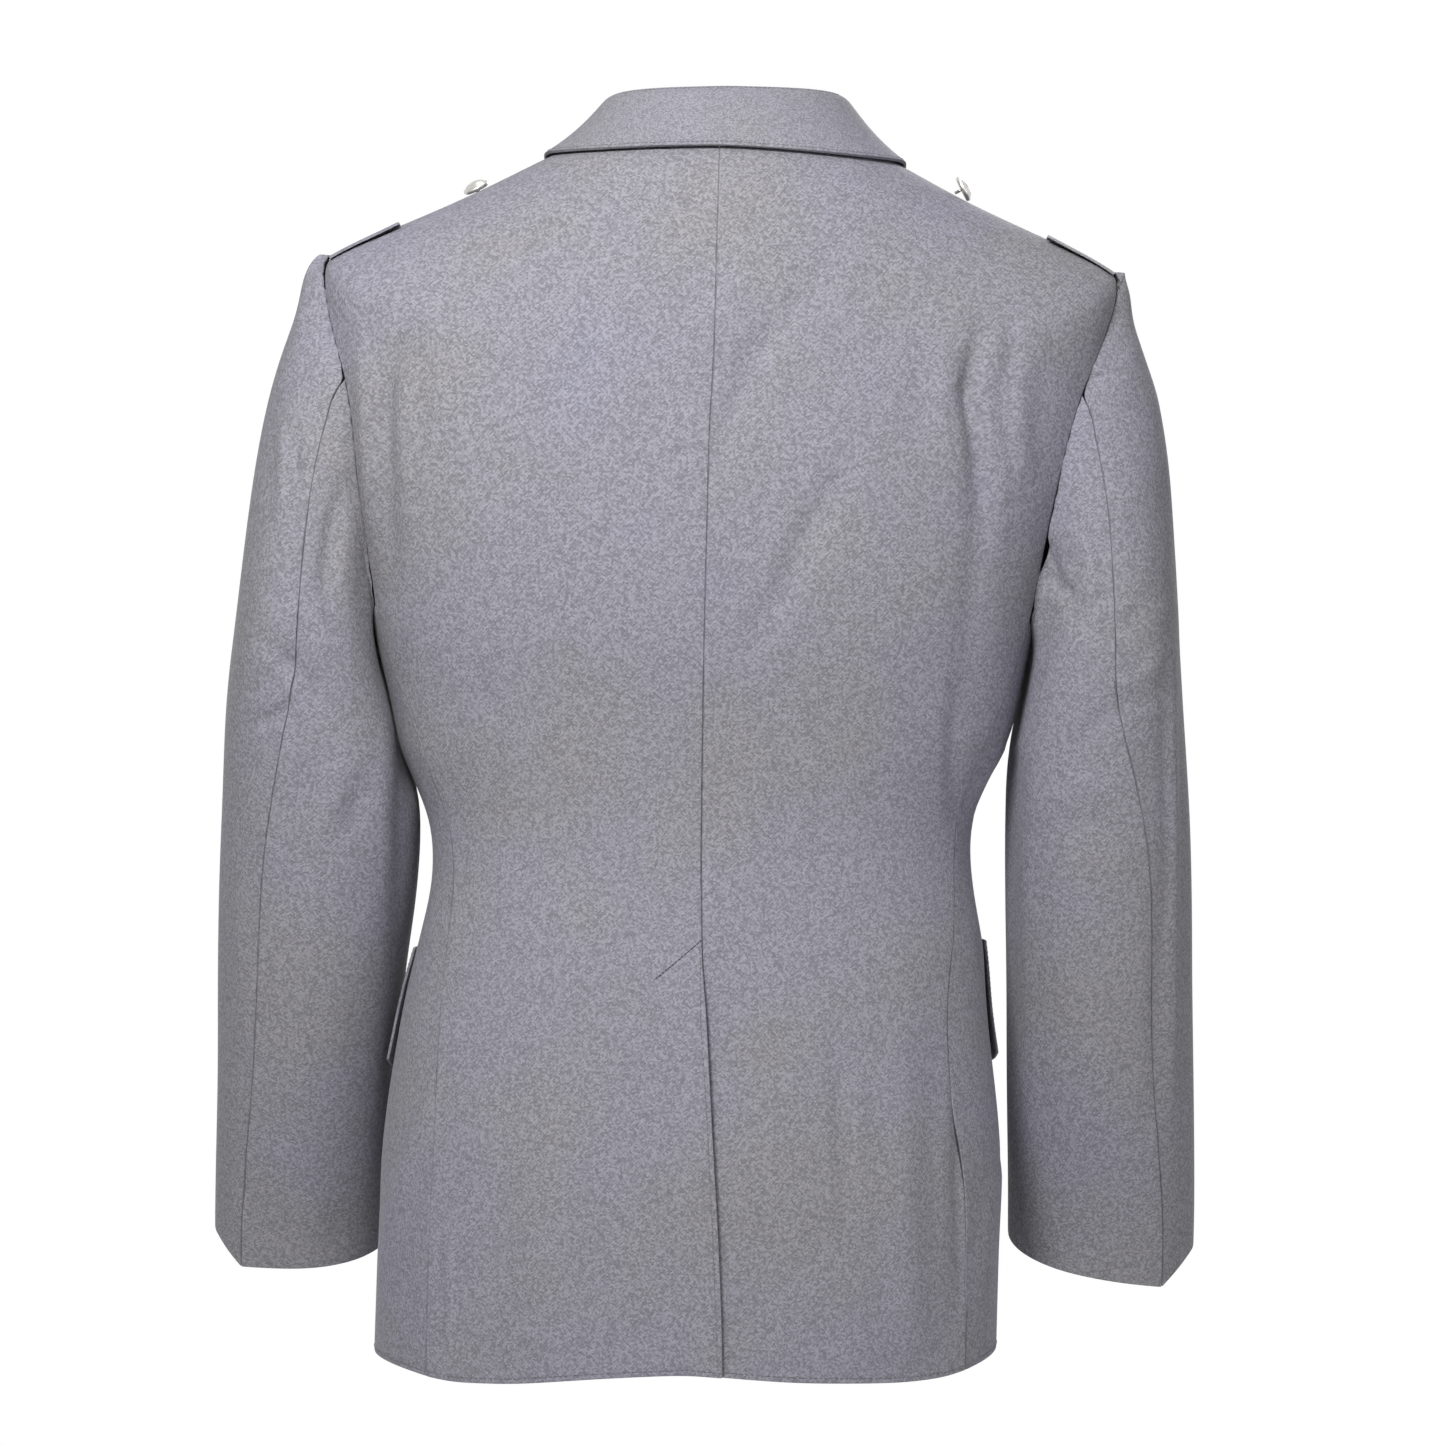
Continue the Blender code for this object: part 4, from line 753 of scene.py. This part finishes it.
def close_armholes(cloths):
    """Draw each sleeve's head to the body, so that the armhole seam is closed, and fill the head out."""
    for label, side in SIDES:
        body = body_surface(cloths, label)
        for kind in ("top_sleeve_", "under_sleeve_"):
            places, moves = [], []
            for first, second, _, _, middle in RIMS[kind + label]:
                for place in (first, second, middle):
                    near, _, _, away = body.find_nearest(Vector(place))
                    if away < ARMHOLE_REACH and place[2] > ARMHOLE_FOOT:
                        gap = np.array(near) - place
                        places.append(place)
                        moves.append(gap * (1 - ARMHOLE_STOP / max(away, TOUCHING)))
            tree = point_tree(places)
            moves = np.array(moves)
            points = points_of(cloths[kind + label])
            for number, point in enumerate(points):
                near = tree.find_n(point, RIM_NEIGHBOURS)
                if near[0][2] < 3 * ARMHOLE_SPREAD:
                    shares = np.array([1 / (away + RIM_BLEND) for _, _, away in near])
                    move = shares @ moves[[i for _, i, _ in near]] / shares.sum()
                    points[number] = point + move * math.exp(-((near[0][2] / ARMHOLE_SPREAD) ** 2))
            set_points(cloths[kind + label], points)
        x, y, height, width = HEAD_FULLNESS[label]
        target = np.array(at_pixel(x, y, 0.0))
        points = points_of(cloths["top_sleeve_" + label])
        away = np.linalg.norm(points[:, [0, 2]] - target, axis=1) / (width * MM)
        share = np.exp(-(away**2)) * np.exp(-((points[:, 1] / HEAD_DEPTH) ** 2))
        points += np.outer(share * height * MM, np.array(HEAD_WAY) * (side, 1, 1))
        set_points(cloths["top_sleeve_" + label], points)


def seat_tabs(cloths):
    """Lay each tab and its underlay flat at the sleeve seam, and let them lift towards their free end."""
    for label, side in SIDES:
        body = body_surface(cloths, label)
        tab = points_of(cloths["shoulder_tab_" + label])
        near, far = (tab[:, 0] * side).min(), (tab[:, 0] * side).max()
        for kind in ("shoulder_tab_", "tab_underlay_"):
            points = points_of(cloths[kind + label])
            seats = np.array([body.find_nearest(Vector(point))[0] for point in points])
            share = np.clip((points[:, 0] * side - near) / (far - near), 0, 1)[:, None]
            height = TAB_HEIGHTS[0] + (TAB_HEIGHTS[1] - TAB_HEIGHTS[0]) * share
            points = seats + (points - seats) * height
            points += np.array(TAB_WAY) * (side, 1, 1) * share**3 * TAB_REACH
            points[:, 2] += TAB_EDGE_LIFT * (points[:, 1] / TAB_HALF_WIDTH) ** 2 * (1 - share[:, 0])
            set_points(cloths[kind + label], points)


# Shade is painted into the cloth's colour where two panels' edges meet, standing in for the shadow in each
# seam's
# groove: the rims are read at this step, two count as sewn together when they are this near, and the painted
# shade fades out between these distances from the edge.
RIM_STEP = 0.8 * MM
SEWN_GAP = 1.7 * MM
SEAM_SHADE = (0.30 * MM, 0.70 * MM)
# Share of the painted shade's dark grey at the bottom of a seam's groove.
SEAM_PAINTED_SHADE = 0.55


def paint_seam_shade(cloths):
    """Vertex value of shade painted into the bottom of the groove at each seam, where the cloth turns in."""
    panels = [name for name in cloths if not name.startswith((*SMALL_PIECES, "pocket_flap"))]
    places = {name: rim_places(RIMS[name]) for name in panels}
    trees = {name: point_tree(places[name]) for name in panels}
    for name in panels:
        others = [trees[other] for other in panels if other != name]
        sewn = [at for at in places[name] if any(other.find(at)[2] < SEWN_GAP for other in others)]
        tree = point_tree(sewn)
        points = points_of(cloths[name])
        away = np.array([tree.find(point)[2] for point in points])
        share = np.clip((SEAM_SHADE[1] - away) / (SEAM_SHADE[1] - SEAM_SHADE[0]), 0, 1)
        # Vertex value of the shade painted along the seams, read by the cloth's material.
        layer = cloths[name].data.attributes.new("seam", "FLOAT", "POINT")
        layer.data.foreach_set("value", smooth(share) * SEAM_PAINTED_SHADE)


def press_creases(cloths):
    for label, side in SIDES:
        creased(cloths["back_" + label], BACK_CREASES, out_of_body, 1, BACK_DEPTH)
        creased(cloths["side_" + label], SIDE_CREASES, out_of_body, 0, SIDE_DEPTH)
        creased(cloths["front_" + label], FRONT_CREASES, out_of_body, -1, mirror=side)
        for kind in ("top_sleeve_", "under_sleeve_"):
            outward = out_of_sleeve(side)
            creased(cloths[kind + label], SLEEVE_CREASES[label], outward, 1, SLEEVE_DEPTH)


# The wire loop under a button and the thread that ties it on. All but the last are shares of the button's
# width: the loop's radius and depth, the wire's radius, the thread's radius and how far down it starts.
LOOP_RADIUS = 0.105
LOOP_DEPTH = 0.15
WIRE_RADIUS = 0.034
TIE_RADIUS = 0.055
TIE_START = 0.17
SHORTEST_TIE = 0.6 * MM
# A solid's points this far from its axis, as a share of its width, are its rim.
BUTTON_RIM = 0.49
SHOULDER_BUTTON_WIDE = 16 * MM
FRONT_BUTTON_WIDE = 20 * MM


def turned(name, section, steps=48):
    """Solid of revolution about Z through a section's (radius, height) rows, from its foot to its top."""
    bpy.ops.object.select_all(action="DESELECT")
    bpy.ops.mesh.primitive_circle_add(
        vertices=steps, radius=section[0][0], fill_type="NGON", location=(0, 0, section[0][1])
    )
    piece = bpy.context.object
    piece.name = name
    bpy.ops.object.transform_apply(location=True)
    bpy.ops.object.mode_set(mode="EDIT")
    bpy.ops.mesh.select_all(action="SELECT")
    for (r0, z0), (r1, z1) in zip(section[:-1], section[1:]):
        bpy.ops.mesh.extrude_region_move(TRANSFORM_OT_translate={"value": (0, 0, z1 - z0)})
        bpy.ops.transform.resize(value=(r1 / r0, r1 / r0, 1), center_override=(0, 0, z1))
    bpy.ops.mesh.select_all(action="SELECT")
    bpy.ops.mesh.normals_make_consistent(inside=False)
    bpy.ops.object.mode_set(mode="OBJECT")
    bpy.ops.object.shade_smooth_by_angle(angle=math.radians(45))
    return piece


def join(pieces, name):
    """One object of several."""
    select_only(pieces[0])
    for piece in pieces[1:]:
        piece.select_set(True)
    bpy.ops.object.join()
    pieces[0].name = name
    return pieces[0]


# Button section from its hollow back to the dome. Columns: radius and height, as shares of the width.
BUTTON_SECTION = (
    (0.060, -0.085), (0.380, -0.095), (0.420, -0.115), (0.462, -0.112), (0.488, -0.080), (0.500, -0.035),
    (0.500, 0.005), (0.488, 0.035), (0.462, 0.050), (0.435, 0.040), (0.418, 0.050), (0.385, 0.095),
    (0.330, 0.140), (0.260, 0.178), (0.180, 0.203), (0.090, 0.218), (0.012, 0.222),
)


def button(name, wide, towards):
    """Domed button with a rolled rim, its wire loop and its thread, where its solid is.

    towards is roughly the way that it faces.
    """
    solid = np.unique(points_of(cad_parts[name]).round(7), axis=0)
    middle = solid.mean(axis=0)
    axis = np.linalg.svd(solid - middle)[2][2]
    axis *= np.sign(axis @ np.array(towards))
    away = np.linalg.norm(np.cross(solid - middle, axis), axis=1)
    centre = solid[away > BUTTON_RIM * wide].mean(axis=0)
    foot = ((solid - centre) @ axis).min()
    head = turned(name + ".head", [(r * wide, z * wide) for r, z in BUTTON_SECTION])
    bpy.ops.mesh.primitive_torus_add(
        major_segments=28,
        minor_segments=8,
        major_radius=LOOP_RADIUS * wide,
        minor_radius=WIRE_RADIUS * wide,
        location=(0, 0, -LOOP_DEPTH * wide),
        rotation=(math.pi / 2, 0, 0),
    )
    loop = bpy.context.object
    bpy.ops.object.transform_apply(location=True, rotation=True)
    bpy.ops.object.shade_smooth()
    head = join([head, loop], name + ".metal")
    head.data.materials.append(SILVER)
    length = max(-foot - TIE_START * wide, SHORTEST_TIE)
    bpy.ops.mesh.primitive_cylinder_add(
        vertices=12, radius=TIE_RADIUS * wide, depth=length, location=(0, 0, foot + length / 2)
    )
    tie = bpy.context.object
    tie.name = name + ".thread"
    bpy.ops.object.transform_apply(location=True)
    bpy.ops.object.shade_smooth_by_angle(angle=math.radians(40))
    tie.data.materials.append(THREAD)
    turn = Vector(axis).to_track_quat("Z", "Y").to_matrix().to_4x4()
    for piece in (head, tie):
        piece.data.transform(Matrix.Translation(Vector(centre)) @ turn)
        piece.data.update()
        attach(piece, "root")
        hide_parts(name)


# Edge stitching, and how far a stitch's middle stands over the cloth, as a share of its radius.
STITCH_LENGTH = 2.3 * MM
STITCH_PITCH = 3.1 * MM
STITCH_RADIUS = 0.28 * MM
STITCH_STAND = 0.35


def stitch_shape():
    """One stitch along X, as points and faces: a slim bar with rounded ends that sinks at both."""
    bpy.ops.mesh.primitive_uv_sphere_add(segments=6, ring_count=5, radius=0.5)
    shape = bpy.context.object
    shape.data.transform(Matrix.Rotation(math.pi / 2, 4, "Y"))
    points = points_of(shape)
    faces = [tuple(face.vertices) for face in shape.data.polygons]
    bpy.data.objects.remove(shape)
    return points, faces


def sew(name, cloth, seats, radius=STITCH_RADIUS):
    """Stitches laid on a cloth. Each seat is a stitch's middle, direction and length."""
    surface = BVHTree.FromObject(cloth, bpy.context.evaluated_depsgraph_get())
    shape, faces = STITCH
    corners = []
    all_faces = []
    for middle, along, length in seats:
        here, normal, _, _ = surface.find_nearest(Vector(middle))
        normal = np.array(normal)
        along = along - normal * (along @ normal)
        along = along / (np.linalg.norm(along) + TINY)
        across = np.cross(normal, along)
        base = len(corners) * len(shape)
        bar = (
            np.array(here)
            + normal * STITCH_STAND * radius
            + np.outer(shape[:, 0] * length, along)
            + np.outer(shape[:, 1] * 2 * radius, across)
            + np.outer(shape[:, 2] * 2 * radius, normal)
        )
        corners.append(bar)
        all_faces += [tuple(base + i for i in face) for face in faces]
    mesh = bpy.data.meshes.new(name)
    mesh.from_pydata(np.concatenate(corners).tolist(), [], all_faces)
    piece = bpy.data.objects.new(name, mesh)
    bpy.context.scene.collection.objects.link(piece)
    select_only(piece)
    bpy.ops.object.shade_smooth()
    mesh.materials.append(THREAD)
    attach(piece, "root")
    return piece


def seats_along(line, pitch=STITCH_PITCH, length=STITCH_LENGTH):
    """Seats of stitches at an even pitch along a line of points."""
    line = np.array(line)
    steps = np.linalg.norm(np.diff(line, axis=0), axis=1)
    run = np.concatenate([[0], np.cumsum(steps)])

    def at(place):
        return np.array([np.interp(place, run, line[:, k]) for k in range(3)])

    seats = []
    for place in np.arange(pitch / 2, run[-1], pitch):
        ahead, behind = at(min(place + pitch / 2, run[-1])), at(place - pitch / 2)
        seats.append((at(place), ahead - behind, length))
    return seats


def chain(rims, keep, inset):
    """Ordered lines along the rims that keep() accepts, moved into the panel by inset."""
    ends = {}
    chosen = [r for r in rims if keep(r[4], r[2], r[3])]
    for number, (a, b, _, _, _) in enumerate(chosen):
        for end in (a, b):
            ends.setdefault(tuple(end.round(6)), []).append(number)
    lines = []
    used = set()
    starts = [k for k, v in ends.items() if len(v) == 1] + list(ends)
    for start in starts:
        line = []
        key = start
        while True:
            free = [n for n in ends[key] if n not in used]
            if not free:
                break
            number = free[0]
            used.add(number)
            a, b, inward, _, _ = chosen[number]
            first, second = (a, b) if tuple(a.round(6)) == key else (b, a)
            if not line:
                line.append(first + inward * inset)
            line.append(second + inward * inset)
            key = tuple(second.round(6))
        if len(line) > 2:
            lines.append(line)
    return lines


def through_pixels(cloth, line):
    """Points of a cloth under a line of the photo's pixels, as the camera sees them."""
    surface = BVHTree.FromObject(cloth, bpy.context.evaluated_depsgraph_get())
    eye = Vector((AIM_X, CAMERA_DISTANCE, AIM_Z))
    found = []
    for (x0, y0), (x1, y1) in zip(line[:-1], line[1:]):
        for share in np.linspace(0, 1, 8, endpoint=False):
            x, z = at_pixel(x0 + (x1 - x0) * share, y0 + (y1 - y0) * share, 0.0)
            hit = surface.ray_cast(eye, (Vector((x, 0, z)) - eye).normalized())
            if hit[0] is not None:
                found.append(np.array(hit[0]))
    return found


# The vent's fold and its slanting row of stitches, in the photo's pixels.
VENT_EDGE = ((700, 946), (701, 1025), (707, 1119), (713, 1241), (717, 1349), (717, 1370))
VENT_SLANT = ((702, 940), (676, 962), (652, 982))
# Rows with stitches of their own. Columns: pitch, length.
SLANT_STITCHES = (2.4 * MM, 2.2 * MM)
COLLAR_STITCHES = (2.8 * MM, 2.1 * MM)
SLANT_RADIUS = 0.42 * MM
EDGE_INSET = 2.0 * MM
FLAP_INSET = 2.8 * MM
HEM_INSET = 3.0 * MM
# Limits of the stitched rims: the hem's top, the break of the front edge, and the depth Y it lies before.
HEM_TOP = -0.70
FRONT_BREAK = -0.24
FRONT_DEPTH = -0.06
# Least share of a direction that counts as facing outwards, as upwards, and as towards the front's side.
OUTWARD = 0.1
UPWARD = 0.7
SIDEWARD = 0.5
# The collar's edge has at least these, and the lapel's faces the back and the side less than these.
COLLAR_UPWARD = 0.35
COLLAR_OUTWARD = 0.2
LAPEL_BACKWARD = 0.3
LAPEL_SIDEWARD = 0.9


def outwardness(at, normal):
    return normal @ out_of_body(at[None])[0]


def is_back_hem(at, inward, normal):
    return at[2] < HEM_TOP and inward[2] > UPWARD and normal[1] > OUTWARD


def is_hem(at, inward, normal):
    return at[2] < HEM_TOP and inward[2] > UPWARD and outwardness(at, normal) > OUTWARD


def is_flap_edge(at, inward, normal):
    return outwardness(at, normal) > OUTWARD and inward[2] > -UPWARD


def is_collar_edge(at, inward, normal):
    return inward[2] > COLLAR_UPWARD and outwardness(at, normal) > COLLAR_OUTWARD


def is_front_edge(side):
    """Function that accepts the hem and the free edge of one front."""

    def keep(at, inward, normal):
        free = at[2] < FRONT_BREAK and inward[0] * side > SIDEWARD and at[1] < FRONT_DEPTH
        return outwardness(at, normal) > OUTWARD and (is_hem(at, inward, normal) or free)

    return keep


def is_lapel_edge(side):
    """Function that accepts the outer edge of one lapel, apart from its roll line."""

    def keep(at, inward, normal):
        return normal[1] < LAPEL_BACKWARD and inward[0] * side < LAPEL_SIDEWARD

    return keep


def rows_of_seats(name, keep, inset, *spacing):
    """Seats of the stitches along a panel's rims that keep() accepts."""
    return [seat for row in chain(RIMS[name], keep, inset) for seat in seats_along(row, *spacing)]


def sew_edges(cloths):
    for label, side in SIDES:
        back = cloths["back_" + label]
        seats = rows_of_seats("back_" + label, is_back_hem, HEM_INSET)
        if side > 0:
            seats += seats_along(through_pixels(back, VENT_EDGE))
            slant = seats_along(through_pixels(back, VENT_SLANT), *SLANT_STITCHES)
            sew("stitches_vent_slant", back, slant, SLANT_RADIUS).data.materials[0] = DARK_THREAD
        sew("stitches_back_" + label, back, seats)
        for stitched, cloth, keep, inset in (
            ("side_", "side_", is_hem, HEM_INSET),
            ("front_", "front_", is_front_edge(side), EDGE_INSET),
            ("flap_", "pocket_flap_", is_flap_edge, FLAP_INSET),
            ("lapel_", "lapel_", is_lapel_edge(side), EDGE_INSET),
        ):
            seats = rows_of_seats(cloth + label, keep, inset)
            sew("stitches_" + stitched + label, cloths[cloth + label], seats)
    seats = rows_of_seats("collar", is_collar_edge, EDGE_INSET, *COLLAR_STITCHES)
    sew("stitches_collar", cloths["collar"], seats)


# Worked buttonholes in the left front: how far they reach either side of the button, half the gap of the
# slit, and a depth Y before the front, from where each stitch is laid on the cloth.
HOLE_REACH = (-13.0 * MM, 11.0 * MM)
HOLE_HALF_GAP = 0.9 * MM
BEFORE_FRONT = -0.16
FRONT_BUTTON_HEIGHTS = (-0.283, -0.355, -0.427, -0.499)
# Stitches across the slit's sides: pitch, length and slant. Those round its eye: number, distance, length.
# Those of the bar at its other end: place past the slit, length and heights.
PURL_PITCH, PURL_LENGTH, PURL_SLANT = 0.75 * MM, 1.7 * MM, 0.15
EYE_STITCHES, EYE_RADIUS, EYE_LENGTH = 14, 1.5 * MM, 1.5 * MM
BAR_PLACE, BAR_LENGTH, BAR_HEIGHTS = 0.6 * MM, 1.6 * MM, (-0.8 * MM, 0, 0.8 * MM)
PURL_RADIUS = 0.26 * MM


def work_buttonholes(cloths):
    """Purl stitches across both sides of each slit and round its ends."""
    seats = []
    for z in FRONT_BUTTON_HEIGHTS:
        for x in np.arange(*HOLE_REACH, PURL_PITCH):
            for way in (1, -1):
                middle = np.array((x, BEFORE_FRONT, z + way * HOLE_HALF_GAP))
                seats.append((middle, np.array((PURL_SLANT, 0, 1.0)), PURL_LENGTH))
        for turn in np.linspace(0, 2 * math.pi, EYE_STITCHES, endpoint=False):
            out = np.array((math.cos(turn), 0, math.sin(turn)))
            middle = np.array((HOLE_REACH[1], BEFORE_FRONT, z)) + out * EYE_RADIUS
            seats.append((middle, out, EYE_LENGTH))
        for height in BAR_HEIGHTS:
            middle = np.array((HOLE_REACH[0] - BAR_PLACE, BEFORE_FRONT, z + height))
            seats.append((middle, np.array((1.0, 0, 0)), BAR_LENGTH))
    sew("buttonholes", cloths["front_left"], seats, PURL_RADIUS)


def set_camera():
    """Camera that sees what the photo's did, leaning as it did."""
    data = bpy.data.cameras.new("camera")
    data.sensor_width = SENSOR_MM
    data.lens = SENSOR_MM * CAMERA_DISTANCE / (PHOTO_PIXELS * METRES_PER_PIXEL)
    data.clip_end = 30
    camera = bpy.data.objects.new("camera", data)
    bpy.context.scene.collection.objects.link(camera)
    to_back = Matrix.Rotation(math.pi, 4, "Z") @ Matrix.Rotation(math.pi / 2, 4, "X")
    turn = to_back @ Matrix.Rotation(CAMERA_LEAN, 4, "Z")
    camera.matrix_world = Matrix.Translation((AIM_X, CAMERA_DISTANCE, AIM_Z)) @ turn
    bpy.context.scene.camera = camera


# Studio lights. Columns: name, place, aim, width, height, power, hex colour.
LIGHTS = (
    ("key over the back", (0.42, 1.30, 0.62), (0.0, 0.1, -0.25), 0.40, 0.36, 28, "FFFFFF"),
    ("fill over the back", (-1.9, 1.3, 0.1), (0, 0.1, -0.4), 1.0, 1.0, 7, "FFFFFF"),
    ("overhead", (0, 0, 2.4), (0, 0, -0.4), 2.2, 2.2, 16, "FFFFFF"),
    ("front key", (-0.7, -1.9, 0.7), (0, 0, -0.3), 0.9, 0.8, 22, "FFFFFF"),
)
# Strength of the studio's air as light on the cloth; as a backdrop it is 1.
WORLD_LIGHT = 0.13
FLOOR_Z = -1.25
FLOOR_RADIUS = 2.5
# The paper floor has a painted glow towards its rim, from nothing at the first distance to nearly white at
# the second.
FLOOR_FADE = (1.3, 2.3)
FLOOR_GLOW = 0.8


def set_lights():
    for name, place, aim, width, height, power, code in LIGHTS:
        data = bpy.data.lights.new(name, "AREA")
        data.shape = "RECTANGLE"
        data.size = width
        data.size_y = height
        data.energy = power
        data.color = linear(code)
        lamp = bpy.data.objects.new(name, data)
        bpy.context.scene.collection.objects.link(lamp)
        lamp.location = place
        lamp.rotation_euler = (Vector(aim) - Vector(place)).to_track_quat("-Z", "Y").to_euler()
        lamp.visible_camera = False


def set_world():
    """White studio air: bright as a backdrop, and dimmer as light on the cloth."""
    world = bpy.data.worlds.new("studio air")
    world.use_nodes = True
    tree = world.node_tree
    seen = node(tree, "ShaderNodeLightPath")
    direct = node(
        tree, "ShaderNodeMath", {"operation": "MAXIMUM"},
        links={0: seen.outputs["Is Camera Ray"], 1: seen.outputs["Is Glossy Ray"]}
    )
    strength = node(
        tree, "ShaderNodeMapRange", values={"To Min": WORLD_LIGHT, "To Max": 1.0},
        links={"Value": direct.outputs["Value"]}
    )
    air = tree.nodes["Background"]
    air.inputs["Color"].default_value = rgba("FFFFFF")
    tree.links.new(strength.outputs["Result"], air.inputs["Strength"])
    bpy.context.scene.world = world
    bpy.context.scene.view_settings.view_transform = "Standard"


def set_floor():
    """Round floor of white paper with a painted glow towards its rim, so that it fades into the backdrop."""
    bpy.ops.object.select_all(action="DESELECT")
    bpy.ops.mesh.primitive_circle_add(
        vertices=96, radius=FLOOR_RADIUS, fill_type="NGON", location=(0, 0, FLOOR_Z)
    )
    floor = bpy.context.object
    floor.name = "floor"
    material, tree, shader = new_material("white paper with painted glow")
    away = node(
        tree, "ShaderNodeVectorMath", {"operation": "LENGTH"},
        links={"Vector": node(tree, "ShaderNodeTexCoord").outputs["Object"]}
    )
    glow = node(
        tree, "ShaderNodeMapRange", {"interpolation_type": "SMOOTHSTEP"},
        {"From Min": FLOOR_FADE[0], "From Max": FLOOR_FADE[1], "To Min": 0.0, "To Max": FLOOR_GLOW},
        {"Value": away.outputs["Value"]}
    )
    shader.inputs["Base Color"].default_value = rgba("FAFAFA")
    shader.inputs["Roughness"].default_value = 0.9
    # Painted glow: the paper emits light towards its rim, though no lamp is there.
    shader.inputs["Emission Color"].default_value = rgba("FFFFFF")
    tree.links.new(glow.outputs["Result"], shader.inputs["Emission Strength"])
    floor.data.materials.append(material)


STITCH = stitch_shape()
cloths = make_cloth()
paint_seam_shade(cloths)
press_creases(cloths)
ease_heads(cloths)
close_armholes(cloths)
seat_tabs(cloths)
sew_edges(cloths)
work_buttonholes(cloths)
for label, side in SIDES:
    button("shoulder_button_" + label, SHOULDER_BUTTON_WIDE, (side * 0.6, 0, 0.8))
for number in (1, 2, 3, 4):
    button(f"front_button_{number}", FRONT_BUTTON_WIDE, (0, -1, 0))
set_camera()
set_lights()
set_world()
set_floor()
